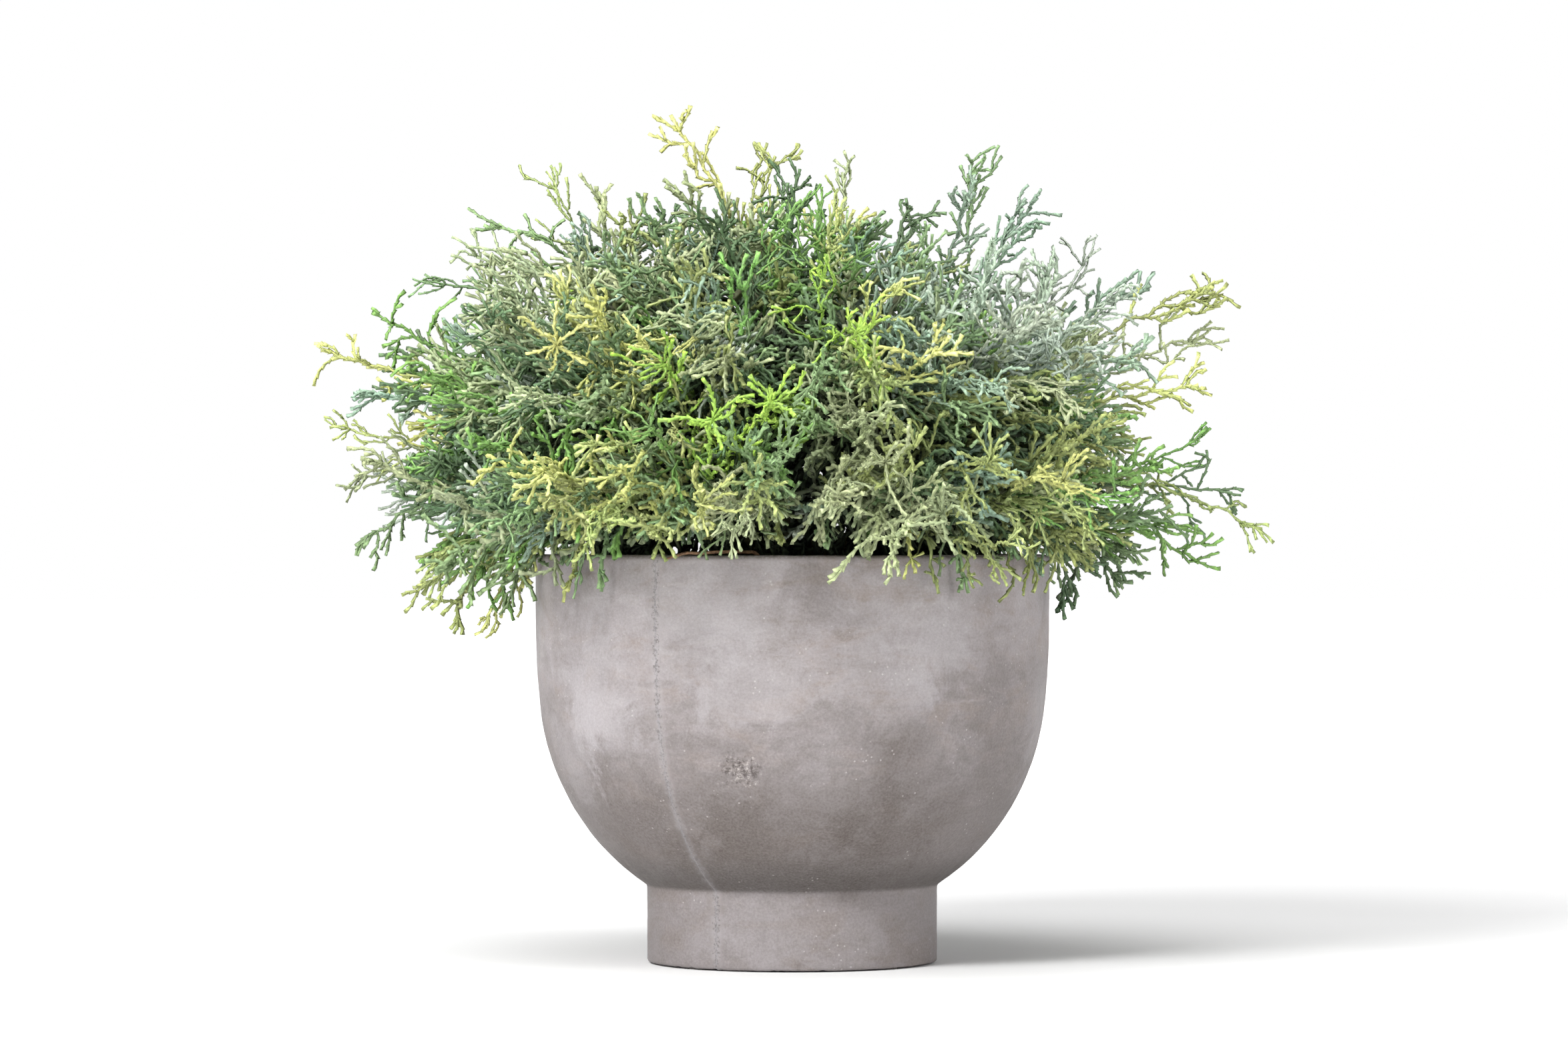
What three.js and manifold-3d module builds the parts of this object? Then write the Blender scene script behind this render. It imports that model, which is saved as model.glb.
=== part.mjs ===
// An artificial cypress bush for a tabletop, in a footed cement planter.
// The bush lifts out: a liner pot holds ballast, foam and a hub, and seven wire-cored stems stand in the hub.
// Six of them are boughs that swing up and down at the hub, and the seventh is the fixed leader in the middle.
// Millimetres, +Z up. The origin is on the table, under the middle of the planter.
import * as THREE from "three";
import { mergeVertices } from "three/addons/utils/BufferGeometryUtils.js";
import Module from "manifold-3d";

const wasm = await Module();
wasm.setup();

const DEG = Math.PI / 180;

// ---- Driving dimensions ----

const GAP = 0.3; // between pieces that touch

// Planter
const RIM_RADIUS = 110;
const PLANTER_TOP = 174.5;
const WALL = 9;
const BOWL_ARC = 101.5; // radius of the round lower part of the bowl
const BOWL_ARC_Z = 118.5;
const SIDE_ARC = 396; // radius of the long arc that brings the side upright
const SIDE_ANGLE = 6.5 * DEG; // how far the side still leans where the two arcs meet
const RIM_ROUND = 1.6;
const FOOT_RADIUS = 62;
const FOOT_HEIGHT = 33.4;
const FOOT_WALL = 12;
const FOOT_CHAMFER = 0.8;
const FLOOR_UNDER = 24;
const FLOOR_TOP = 34;
const DRAIN_RADIUS = 9;
const PLANTER_SIDES = 40;

// Bung in the drain hole
const BUNG_FLANGE = 5; // how far the flange reaches past the hole
const BUNG_FLANGE_THICKNESS = 3;
const BUNG_KNOB_RADIUS = 5;
const BUNG_NECK_RADIUS = 3;
const BUNG_KNOB_LENGTH = 7;
const BUNG_SIDES = 18;

// Felt pads under the foot
const PAD_COUNT = 4;
const PAD_RADIUS = 4.6;
const PAD_THICKNESS = 1.4;
const PAD_PROUD = 0.6;
const PAD_SIDES = 16;
const PAD_CIRCLE = FOOT_RADIUS - FOOT_WALL / 2;

// Liner pot and what it holds
const LINER_BOTTOM_RADIUS = 43.4;
const LINER_TOP_RADIUS = 92;
const LINER_LIP = 4;
const LINER_TOP = 160;
const LINER_WALL = 1.6;
const LINER_SIDES = 28; // the liner and all that fits in it are faceted alike
const LINER_BOTTOM = FLOOR_TOP + GAP;
const BALLAST_TOP = 62;
const FOAM_TOP = 148;
const SOIL_TOP = 160;
const ROOT_TWIG_RADIUS = 1;

// Hub, whose post stands in the foam
const POST_RADIUS = 9;
const POST_BOTTOM = 96;
const HUB_RADIUS = 22;
const HUB_Z = 180;
const HUB_TOP = 194;
const PIVOT_RADIUS = 21.5; // where the boughs' balls sit, from the axis
const BALL_RADIUS = 4;
const CUP_CLEARANCE = 0.6;
const LEADER_SOCKET_DEPTH = 10;
const HUB_SIDES = 18;

// Bush
const BOUGH_COUNT = 6;
const BOUGH_STEP = (2 * Math.PI) / BOUGH_COUNT;
const DOME_CENTRE = new THREE.Vector3(0, 0, 178); // of the round outline that the foliage fills
const STEM_RADIUS = 2.4;
const STEM_ROUTE = [[42, 192], [66, 214], [72, 262]]; // radius and height of a curve's last three controls
const LEADER_STEM_TOP = 262;
const LEADER_ROOT_Z = 232; // of the lowest spray on the leader
const LEADER_ROOT_STEP = 9;
const TWIG_RADIUS = 2; // the middle twig of a spray
const THREAD_RADIUS = 1.8; // its side threads

// How far each bough's tips are from the dome's centre, going round from +X.
const BOUGH_REACH = [207, 203, 200, 208, 202, 204];
const LEADER_REACH = [188, 172, 178];

// The sprays of one bough. Each fills its own cone, seen from the dome's centre: azimuth from the bough's own
// plane, elevation, and half its width both ways, in degrees. along is where it sits on the bough's stem, and
// share is its part of the bough's reach. The low ones pass over the rim, so that a bough can droop a little.
const BOUGH_SPRAYS = [
  { name: "low_left", along: 0.33, azimuth: 14, elevation: 2.5, wide: 10, tall: 5, share: 1 },
  { name: "low_right", along: 0.4, azimuth: -14, elevation: 3, wide: 10, tall: 5, share: 0.98 },
  { name: "mid_left", along: 0.62, azimuth: 13, elevation: 29, wide: 9, tall: 9, share: 0.98 },
  { name: "mid_right", along: 0.7, azimuth: -13, elevation: 31, wide: 9, tall: 9, share: 1 },
  { name: "high", along: 1, azimuth: 0, elevation: 55, wide: 10, tall: 8, share: 0.95 },
];
const LEADER_ELEVATION = 82;
const LEADER_WIDE = 6;
const LEADER_TALL = 5;

// Where the side threads leave a spray's middle twig, and which way each one goes: a share of wide, then of tall.
const THREADS = [
  { from: 0.42, wide: 1, tall: -0.4, length: 0.92 },
  { from: 0.5, wide: -1, tall: 0.3, length: 0.94 },
  { from: 0.58, wide: 0.3, tall: 1, length: 0.96 },
  { from: 0.64, wide: -0.4, tall: -1, length: 0.94 },
  { from: 0.72, wide: 0.7, tall: 0.5, length: 0.98 },
];

// ---- Materials ----

const material = (color, roughness, metalness = 0) =>
  new THREE.MeshStandardMaterial({ color, roughness, metalness });
const cement = material(0x9c928f, 0.85);
const rubber = material(0x2a2a2b, 0.7);
const felt = material(0x4d4a47, 1);
const linerPlastic = material(0x2d2c2a, 0.5);
const ballastCement = material(0x8a8680, 0.95);
const foam = material(0x4f6b3c, 1);
const soil = material(0x3b2c22, 1);
const twigWood = material(0x5a4636, 0.9);
const stemPlastic = material(0x55543a, 0.8);
const foliage = material(0x5f8a45, 0.65);

// ---- Shape helpers ----

// A closed geometry as a manifold-3d solid, which can be cut and joined.
function solid(geometry) {
  const bare = geometry.clone();
  bare.deleteAttribute("normal");
  bare.deleteAttribute("uv");
  const merged = mergeVertices(bare, 1e-4);
  return new wasm.Manifold(
    new wasm.Mesh({
      numProp: 3,
      vertProperties: merged.attributes.position.array,
      triVerts: new Uint32Array(merged.index.array),
    }),
  );
}

function geometryOf(manifold) {
  const { vertProperties, triVerts } = manifold.getMesh();
  const geometry = new THREE.BufferGeometry();
  geometry.setAttribute("position", new THREE.BufferAttribute(vertProperties, 3));
  geometry.setIndex(new THREE.BufferAttribute(triVerts, 1));
  geometry.computeVertexNormals();
  return geometry;
}

// A solid of revolution about +Z from points of radius and height, listed anticlockwise.
function turned(points, segments) {
  const profile = points.map(([radius, z]) => new THREE.Vector2(radius, z));
  return new THREE.LatheGeometry(profile, segments).rotateX(Math.PI / 2);
}

// Points of radius and height along an arc, from one angle to another.
function arc(centreRadius, centreZ, radius, from, to, steps) {
  return Array.from({ length: steps + 1 }, (_, i) => {
    const angle = from + ((to - from) * i) / steps;
    return [centreRadius + radius * Math.cos(angle), centreZ + radius * Math.sin(angle)];
  });
}

function upright(radius, bottom, top, segments) {
  return new THREE.CylinderGeometry(radius, radius, top - bottom, segments)
    .rotateX(Math.PI / 2)
    .translate(0, 0, (bottom + top) / 2);
}

// A round rod along a curve, with as many sides as asked for.
function rod(curve, radius, sides, steps) {
  const section = new THREE.Shape(
    Array.from({ length: sides }, (_, i) => {
      const angle = (2 * Math.PI * i) / sides;
      return new THREE.Vector2(radius * Math.cos(angle), radius * Math.sin(angle));
    }),
  );
  return new THREE.ExtrudeGeometry(section, { steps, extrudePath: curve, bevelEnabled: false });
}

// A direction by azimuth and elevation in radians.
function unitVector(azimuth, elevation) {
  return new THREE.Vector3(
    Math.cos(elevation) * Math.cos(azimuth),
    Math.cos(elevation) * Math.sin(azimuth),
    Math.sin(elevation),
  );
}

function node(name, geometry, itsMaterial) {
  const mesh = new THREE.Mesh(geometry, itsMaterial);
  mesh.name = name;
  return mesh;
}

// ---- Planter ----

// The bowl's side from the rim down to a height, this far inside the outer face.
function bowlSide(inset, downTo) {
  const sideCentre = RIM_RADIUS - SIDE_ARC;
  const sideCentreZ = BOWL_ARC_Z + (SIDE_ARC - BOWL_ARC) * Math.sin(SIDE_ANGLE);
  const bowlCentre = sideCentre + (SIDE_ARC - BOWL_ARC) * Math.cos(SIDE_ANGLE);
  const bowlRadius = BOWL_ARC - inset;
  const lowest = -Math.asin((BOWL_ARC_Z - downTo) / bowlRadius);
  return [
    ...arc(sideCentre, sideCentreZ, SIDE_ARC - inset, 0, -SIDE_ANGLE, 2),
    ...arc(bowlCentre, BOWL_ARC_Z, bowlRadius, -SIDE_ANGLE, lowest, 7).slice(1),
  ];
}

function padPlaces() {
  return Array.from({ length: PAD_COUNT }, (_, i) => {
    const angle = ((i + 0.5) * 2 * Math.PI) / PAD_COUNT;
    return [PAD_CIRCLE * Math.cos(angle), PAD_CIRCLE * Math.sin(angle)];
  });
}

function planter() {
  const outside = bowlSide(0, FOOT_HEIGHT).reverse();
  const inside = bowlSide(WALL, FLOOR_TOP);
  const profile = [
    [DRAIN_RADIUS, FLOOR_UNDER],
    [FOOT_RADIUS - FOOT_WALL, FLOOR_UNDER],
    [FOOT_RADIUS - FOOT_WALL, PAD_PROUD],
    [FOOT_RADIUS - FOOT_CHAMFER, PAD_PROUD],
    [FOOT_RADIUS, PAD_PROUD + FOOT_CHAMFER],
    ...outside,
    [RIM_RADIUS, PLANTER_TOP - RIM_ROUND],
    [RIM_RADIUS - RIM_ROUND, PLANTER_TOP],
    [RIM_RADIUS - WALL + RIM_ROUND, PLANTER_TOP],
    [RIM_RADIUS - WALL, PLANTER_TOP - RIM_ROUND],
    ...inside,
    [DRAIN_RADIUS, FLOOR_TOP],
    [DRAIN_RADIUS, FLOOR_UNDER],
  ];
  let body = solid(turned(profile, PLANTER_SIDES));
  for (const [x, y] of padPlaces()) {
    const pocket = upright(PAD_RADIUS + GAP, -1, PAD_THICKNESS + GAP, PAD_SIDES).translate(x, y, 0);
    body = body.subtract(solid(pocket));
  }
  return node("planter_bowl", geometryOf(body), cement);
}

function footPads() {
  return padPlaces().map(([x, y], i) => {
    const pad = upright(PAD_RADIUS, 0, PAD_THICKNESS, PAD_SIDES).translate(x, y, 0);
    return node(`foot_pad_${i + 1}`, pad, felt);
  });
}

// A stopper pushed up into the drain hole, with a flange under the floor and a knob to pull it by.
function drainBung() {
  const flangeTop = FLOOR_UNDER - GAP;
  const flangeBottom = flangeTop - BUNG_FLANGE_THICKNESS;
  const knobBottom = flangeBottom - BUNG_KNOB_LENGTH;
  const plugTop = FLOOR_TOP - 1;
  const profile = [
    [0, knobBottom],
    [BUNG_KNOB_RADIUS, knobBottom],
    [BUNG_KNOB_RADIUS, knobBottom + 0.4 * BUNG_KNOB_LENGTH],
    [BUNG_NECK_RADIUS, knobBottom + 0.6 * BUNG_KNOB_LENGTH],
    [BUNG_NECK_RADIUS, flangeBottom],
    [DRAIN_RADIUS + BUNG_FLANGE, flangeBottom],
    [DRAIN_RADIUS + BUNG_FLANGE, flangeTop],
    [DRAIN_RADIUS - GAP, flangeTop],
    [DRAIN_RADIUS - 3 * GAP, plugTop],
    [0, plugTop],
  ];
  return node("drain_bung", turned(profile, BUNG_SIDES), rubber);
}

// ---- Liner pot, ballast, foam and soil ----

// The liner's inner radius at a height.
function linerInside(z) {
  const share = (z - LINER_BOTTOM) / (LINER_TOP - LINER_BOTTOM);
  return LINER_BOTTOM_RADIUS + share * (LINER_TOP_RADIUS - LINER_BOTTOM_RADIUS) - LINER_WALL;
}

function linerPot() {
  const floor = LINER_BOTTOM + LINER_WALL;
  const profile = [
    [0, LINER_BOTTOM],
    [LINER_BOTTOM_RADIUS, LINER_BOTTOM],
    [LINER_TOP_RADIUS, LINER_TOP - LINER_WALL],
    [LINER_TOP_RADIUS + LINER_LIP, LINER_TOP - LINER_WALL],
    [LINER_TOP_RADIUS + LINER_LIP, LINER_TOP],
    [linerInside(LINER_TOP), LINER_TOP],
    [linerInside(floor), floor],
    [0, floor],
  ];
  return node("liner_pot", turned(profile, LINER_SIDES), linerPlastic);
}

function ballast() {
  const bottom = LINER_BOTTOM + LINER_WALL + GAP;
  const profile = [
    [0, bottom],
    [linerInside(bottom) - GAP, bottom],
    [linerInside(BALLAST_TOP) - GAP, BALLAST_TOP],
    [0, BALLAST_TOP],
  ];
  return node("ballast_disc", turned(profile, LINER_SIDES), ballastCement);
}

function foamBlock() {
  const bottom = BALLAST_TOP + GAP;
  const hole = POST_RADIUS + GAP;
  const profile = [
    [0, bottom],
    [linerInside(bottom) - GAP, bottom],
    [linerInside(FOAM_TOP) - GAP, FOAM_TOP],
    [hole, FOAM_TOP],
    [hole, POST_BOTTOM - GAP],
    [0, POST_BOTTOM - GAP],
  ];
  return node("foam_block", turned(profile, LINER_SIDES), foam);
}

function soilCover() {
  const bottom = FOAM_TOP + GAP;
  const edge = linerInside(bottom) - GAP;
  const hole = POST_RADIUS + GAP;
  const profile = [
    [hole, bottom],
    [edge, bottom],
    [edge + 1.5, bottom + 5],
    [edge * 0.7, SOIL_TOP - 3],
    [edge * 0.3, SOIL_TOP],
    [hole, SOIL_TOP],
    [hole, bottom],
  ];
  return node("soil_cover", turned(profile, LINER_SIDES), soil);
}

// A dry root that lies over the rim.
function rootTwig() {
  const across = (degrees, radius, z) =>
    new THREE.Vector3(radius * Math.cos(degrees * DEG), radius * Math.sin(degrees * DEG), z);
  const path = new THREE.CatmullRomCurve3([
    across(-88, 66, SOIL_TOP + 2.5),
    across(-93, 84, SOIL_TOP + 6),
    across(-99, 98, PLANTER_TOP + 1),
    across(-107, 106, PLANTER_TOP + 1.5),
    across(-114, 112, PLANTER_TOP + 0.2),
  ]);
  return node("root_twig", rod(path, ROOT_TWIG_RADIUS, 6, 12), twigWood);
}

// ---- Hub and stems ----

function hub() {
  const profile = [
    [0, POST_BOTTOM],
    [POST_RADIUS, POST_BOTTOM],
    [POST_RADIUS, HUB_Z - 14],
    [HUB_RADIUS - 2, HUB_Z - 8],
    [HUB_RADIUS, HUB_Z],
    [HUB_RADIUS - 5, HUB_Z + 9],
    [7, HUB_TOP],
    [0, HUB_TOP],
  ];
  let body = solid(turned(profile, HUB_SIDES));
  const cup = new THREE.SphereGeometry(BALL_RADIUS + CUP_CLEARANCE, 10, 6);
  for (let i = 0; i < BOUGH_COUNT; i++) {
    const x = PIVOT_RADIUS * Math.cos(i * BOUGH_STEP);
    const y = PIVOT_RADIUS * Math.sin(i * BOUGH_STEP);
    body = body.subtract(solid(cup.clone().translate(x, y, HUB_Z)));
  }
  const socket = upright(STEM_RADIUS + GAP, HUB_TOP - LEADER_SOCKET_DEPTH, HUB_TOP + 1, 10);
  return node("stem_hub", geometryOf(body.subtract(solid(socket))), stemPlastic);
}

// A bough's stem arches up and out from its ball, in the plane of its azimuth.
function stemCurve(azimuth) {
  const controls = [[PIVOT_RADIUS, HUB_Z], ...STEM_ROUTE].map(
    ([radius, z]) => new THREE.Vector3(radius * Math.cos(azimuth), radius * Math.sin(azimuth), z),
  );
  return new THREE.CubicBezierCurve3(...controls);
}

function boughStem(number, azimuth) {
  const curve = stemCurve(azimuth);
  const ball = new THREE.SphereGeometry(BALL_RADIUS, 10, 6);
  ball.translate(...curve.getPoint(0).toArray());
  const stem = solid(rod(curve, STEM_RADIUS, 6, 9)).add(solid(ball));
  return node(`bough_${number}_stem`, geometryOf(stem), stemPlastic);
}

function leaderStem() {
  const bottom = HUB_TOP - LEADER_SOCKET_DEPTH + GAP;
  return node("leader_stem", upright(STEM_RADIUS, bottom, LEADER_STEM_TOP, 10), stemPlastic);
}

// ---- Sprays ----

// A spray: a middle twig from its root on a stem out to the dome, and side threads that fan out of it.
// Its cone leans sideways by wide and upwards by tall, in radians, seen from the dome's centre.
function spray(name, root, azimuth, elevation, wide, tall, reach) {
  const out = unitVector(azimuth, elevation);
  const sideways = unitVector(azimuth + Math.PI / 2, 0);
  const upwards = unitVector(azimuth, elevation + Math.PI / 2);
  const inCone = (across, along, distance) =>
    out
      .clone()
      .addScaledVector(sideways, Math.tan(across * wide))
      .addScaledVector(upwards, Math.tan(along * tall))
      .setLength(distance)
      .add(DOME_CENTRE);
  const midway = (root.distanceTo(DOME_CENTRE) + reach) / 2;
  const twig = new THREE.QuadraticBezierCurve3(root, inCone(0, 0, midway), inCone(0, 0, reach));
  let body = solid(rod(twig, TWIG_RADIUS, 4, 4));
  for (const thread of THREADS) {
    const start = twig.getPoint(thread.from);
    const end = inCone(thread.wide, thread.tall, reach * thread.length);
    const bend = inCone(thread.wide * 0.8, thread.tall * 0.8, start.distanceTo(DOME_CENTRE) + 22);
    const curve = new THREE.QuadraticBezierCurve3(start, bend, end);
    body = body.add(solid(rod(curve, THREAD_RADIUS, 3, 2)));
  }
  return node(name, geometryOf(body), foliage);
}

function boughSprays(number, boughAzimuth, reach) {
  const stem = stemCurve(boughAzimuth);
  return BOUGH_SPRAYS.map((each) => {
    const azimuth = boughAzimuth + each.azimuth * DEG;
    // A side spray sits on the stem's flank, and the middle one on its end.
    const flank = unitVector(boughAzimuth + Math.sign(each.azimuth) * (Math.PI / 2), 0);
    const away = each.azimuth === 0 ? stem.getTangent(1) : flank;
    const gap = each.azimuth === 0 ? 4 * GAP : STEM_RADIUS + GAP + TWIG_RADIUS;
    const root = stem.getPoint(each.along).addScaledVector(away, gap);
    const name = `bough_${number}_spray_${each.name}`;
    const { elevation, wide, tall } = each;
    return spray(name, root, azimuth, elevation * DEG, wide * DEG, tall * DEG, reach * each.share);
  });
}

function leaderSprays() {
  return LEADER_REACH.map((reach, i) => {
    const azimuth = (2 * Math.PI * (i + 0.5)) / LEADER_REACH.length;
    const root = unitVector(azimuth, 0).setLength(STEM_RADIUS + GAP + TWIG_RADIUS);
    root.z = LEADER_ROOT_Z + LEADER_ROOT_STEP * i;
    const [elevation, wide, tall] = [LEADER_ELEVATION, LEADER_WIDE, LEADER_TALL].map((a) => a * DEG);
    return spray(`leader_spray_${i + 1}`, root, azimuth, elevation, wide, tall, reach);
  });
}

// ---- The whole ----

const tree = new THREE.Group();
tree.add(planter(), ...footPads(), drainBung());
tree.add(linerPot(), ballast(), foamBlock(), soilCover(), rootTwig(), hub());
tree.add(leaderStem(), ...leaderSprays());
BOUGH_REACH.forEach((reach, i) => {
  tree.add(boughStem(i + 1, i * BOUGH_STEP), ...boughSprays(i + 1, i * BOUGH_STEP, reach));
});

export default tree;
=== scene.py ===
import math

import bmesh
import bpy
import numpy as np
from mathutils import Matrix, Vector, noise


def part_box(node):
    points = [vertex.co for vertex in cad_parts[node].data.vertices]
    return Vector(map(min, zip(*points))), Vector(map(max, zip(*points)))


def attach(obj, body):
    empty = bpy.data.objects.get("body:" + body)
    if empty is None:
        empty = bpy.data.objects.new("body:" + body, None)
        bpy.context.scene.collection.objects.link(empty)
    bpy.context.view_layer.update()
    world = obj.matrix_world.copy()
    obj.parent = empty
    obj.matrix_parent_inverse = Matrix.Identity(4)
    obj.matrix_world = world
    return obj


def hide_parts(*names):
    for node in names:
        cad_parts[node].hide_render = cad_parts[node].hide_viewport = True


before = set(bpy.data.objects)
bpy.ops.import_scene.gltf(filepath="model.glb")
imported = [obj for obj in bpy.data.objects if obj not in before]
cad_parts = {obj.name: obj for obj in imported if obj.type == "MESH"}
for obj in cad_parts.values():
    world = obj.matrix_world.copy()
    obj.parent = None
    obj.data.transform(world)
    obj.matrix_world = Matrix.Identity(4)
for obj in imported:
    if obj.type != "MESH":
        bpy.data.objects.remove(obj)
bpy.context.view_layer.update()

# An artificial cypress bush in a cement planter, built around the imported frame.
# Sizes below are millimetres in the frame's own axes, and meshes are made in metres.
MM = 0.001
SEED = 20731
rng = np.random.default_rng(SEED)

# ---- Driving dimensions, which repeat the CAD part's ----

HUB_Z = 180.0
PIVOT_RADIUS = 21.5
STEM_ROUTE = ((42.0, 192.0), (66.0, 214.0), (72.0, 262.0))  # radius and height of the last three controls
LEADER_ROOT = np.array([0.0, 0.0, 240.0])
DOME_CENTRE = np.array([0.0, 0.0, 178.0])
BOUGHS = 6
BOUGH_STEP = 2 * math.pi / BOUGHS
RIM_RADIUS = 110.0
PLANTER_TOP = 174.5
WALL = 9.0

# Where each spray leaves its bough's stem, as a share of the stem.
SPRAY_ROOTS = {"low_left": 0.33, "low_right": 0.4, "mid_left": 0.62, "mid_right": 0.7, "high": 1.0}
LOW_BELOW, MID_BELOW, HIGH_BELOW = 16.0, 43.0, 68.0  # elevations in degrees that part the sprays

# How far the foliage's tips are from the dome's centre, by elevation in degrees.
DOME_REACH = ((0, 20, 35, 50, 70, 90), (194, 196, 184, 175, 173, 171))

# The room that foliage leaves around the rim, so that a bough can droop.
GUARD_INSIDE = 97.0
GUARD_OUTSIDE = 113.8
GUARD_TOP = 181.5
GUARD_SOIL = 165.5  # threads over the planter's mouth hardly go below this

# ---- Small helpers ----


def linear(hex_colour):
    """An sRGB colour such as 6CB84E as linear red, green and blue."""
    channels = [int(hex_colour[i:i + 2], 16) / 255 for i in (0, 2, 4)]
    return np.array([c / 12.92 if c < 0.04045 else ((c + 0.055) / 1.055) ** 2.4 for c in channels])


def unit(v):
    """A vector made one long."""
    return v / np.linalg.norm(v)


def square_to(v):
    """A random unit vector at a right angle to v."""
    across = np.cross(v, unit(rng.normal(size=3)))
    return unit(across)


def direction(azimuth, elevation):
    """A unit vector by azimuth and elevation in degrees."""
    a, e = math.radians(azimuth), math.radians(elevation)
    return np.array([math.cos(e) * math.cos(a), math.cos(e) * math.sin(a), math.sin(e)])


def around(azimuth, radius, z):
    """The point at an azimuth in degrees, a radius and a height."""
    return direction(azimuth, 0) * radius + (0, 0, z)


def angles(v):
    """The azimuth and elevation in degrees of a vector."""
    return math.degrees(math.atan2(v[1], v[0])), math.degrees(math.atan2(v[2], math.hypot(v[0], v[1])))


def new_object(name, data):
    """An object in the scene that shows this data."""
    made = bpy.data.objects.new(name, data)
    bpy.context.scene.collection.objects.link(made)
    return made


def object_from(name, shape):
    """An object made from a bmesh, which is freed."""
    mesh = bpy.data.meshes.new(name)
    shape.to_mesh(mesh)
    shape.free()
    return new_object(name, mesh)


def applied(piece):
    """A mesh of a piece as it stands, with its modifiers or its bevel applied."""
    bpy.context.view_layer.update()
    return bpy.data.meshes.new_from_object(piece.evaluated_get(bpy.context.evaluated_depsgraph_get()))


def add_mesh(name, vertices, faces, triangles=()):
    """A smooth mesh object from points in millimetres, four-sided faces, and then three-sided ones."""
    corners = np.concatenate([np.ravel(faces), np.ravel(triangles)]).astype(np.int32)
    sizes = np.concatenate([np.full(len(faces), 4), np.full(len(triangles), 3)])
    mesh = bpy.data.meshes.new(name)
    mesh.vertices.add(len(vertices))
    mesh.vertices.foreach_set("co", (vertices * MM).astype(np.float32).ravel())
    mesh.loops.add(len(corners))
    mesh.loops.foreach_set("vertex_index", corners)
    mesh.polygons.add(len(sizes))
    mesh.polygons.foreach_set("loop_start", (np.cumsum(sizes) - sizes).astype(np.int32))
    mesh.polygons.foreach_set("use_smooth", np.full(len(sizes), True))
    mesh.update(calc_edges=True)
    mesh.validate()
    return new_object(name, mesh)


def ring_faces(rows, columns):
    """The row and column that each face of a closed ring of points starts at, and the faces."""
    row, column = np.meshgrid(np.arange(rows), np.arange(columns), indexing="ij")
    next_row, next_column = (row + 1) % rows, (column + 1) % columns
    faces = np.stack([row * columns + column, row * columns + next_column,
                      next_row * columns + next_column, next_row * columns + column], -1)
    return row, column, faces.reshape(-1, 4)


def cell_corners(column, row):
    """The corners of unit cells of a sheet, from their lower left round to their upper left."""
    return np.stack([np.stack([column + x, row + y], -1) for x, y in ((0, 0), (1, 0), (1, 1), (0, 1))], -2)


def lay_out(piece, sheet):
    """A UV layer for textures, from a place on the sheet for each face corner."""
    layer = piece.data.uv_layers.new(name="OFBake")
    layer.data.foreach_set("uv", sheet.astype(np.float32).ravel())


# ---- Camera, lights and floor ----

CAMERA_PLACE = Vector((-0.0036, -2.5, 0.183))
CAMERA_AIM = Vector((-0.0036, 0.0, 0.1877))
CAMERA_LENS = 134
LIGHTS_AIM = Vector((0, 0, 0.2))
# Softboxes: name, place, width, height and power.
SOFTBOXES = (
    ("key_softbox", (-1.35, -1.95, 1.65), 0.8, 0.9, 86),
    ("fill_softbox", (1.9, -1.25, 1.0), 0.6, 1.2, 16),
    ("top_softbox", (-0.3, -0.7, 2.4), 1.8, 1.6, 50),
)
WORLD_STOPS = ((0.1, 1.0), (0.22, 0.28))  # height on the sky's sphere, and how white it is there
FLOOR_RADIUS = 14.0
GLOW_FROM, GLOW_FULL = 0.35, 1.8  # distances from the object between which the floor starts to glow


def aim(thing, place, target):
    """Stands a camera or a light at a place and turns it to a target."""
    thing.location = place
    thing.rotation_euler = (target - Vector(place)).to_track_quat("-Z", "Y").to_euler()


def place_camera():
    """A camera far in front, about as high as the planter's rim."""
    data = bpy.data.cameras.new("camera")
    data.lens = CAMERA_LENS
    data.sensor_width = 36
    data.clip_end = 60
    camera = new_object("camera", data)
    aim(camera, CAMERA_PLACE, CAMERA_AIM)
    bpy.context.scene.camera = camera


def light_studio():
    """Softboxes, and a sky that is white low down and grey above."""
    for name, place, width, height, power in SOFTBOXES:
        data = bpy.data.lights.new(name, "AREA")
        data.shape = "RECTANGLE"
        data.size, data.size_y = width, height
        data.energy = power
        aim(new_object(name, data), place, LIGHTS_AIM)
    world = bpy.data.worlds.new("studio")
    world.use_nodes = True
    bpy.context.scene.world = world
    nodes, links = world.node_tree.nodes, world.node_tree.links
    place = nodes.new("ShaderNodeTexCoord")
    split = nodes.new("ShaderNodeSeparateXYZ")
    ramp = nodes.new("ShaderNodeValToRGB")
    links.new(place.outputs["Generated"], split.inputs[0])
    links.new(split.outputs["Z"], ramp.inputs["Fac"])
    links.new(ramp.outputs["Color"], nodes["Background"].inputs["Color"])
    for stop, (position, grey) in zip(ramp.color_ramp.elements, WORLD_STOPS):
        stop.position = position
        stop.color = (grey, grey, grey, 1)
    nodes["Background"].inputs["Strength"].default_value = 1.0
    bpy.context.scene.view_settings.view_transform = "Standard"


def lay_floor():
    """A pale floor that turns into evenly lit white away from the object, with no horizon."""
    shape = bmesh.new()
    bmesh.ops.create_circle(shape, cap_ends=True, segments=96, radius=FLOOR_RADIUS)
    floor = object_from("studio_floor", shape)
    paint = Paint("studio_floor", 0.9)
    paint.coat(paint.ramp(paint.noise(3.0, detail=2), (0.3, (0.84, 0.84, 0.84)), (0.7, (0.88, 0.88, 0.88))))
    away = paint.spread(paint.distance((0, 0, 0)), GLOW_FROM, GLOW_FULL)
    paint.feed(paint.shader.inputs["Emission Strength"], away)
    paint.shader.inputs["Emission Color"].default_value = (1, 1, 1, 1)
    floor.data.materials.append(paint.material)


# ---- Materials ----


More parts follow.
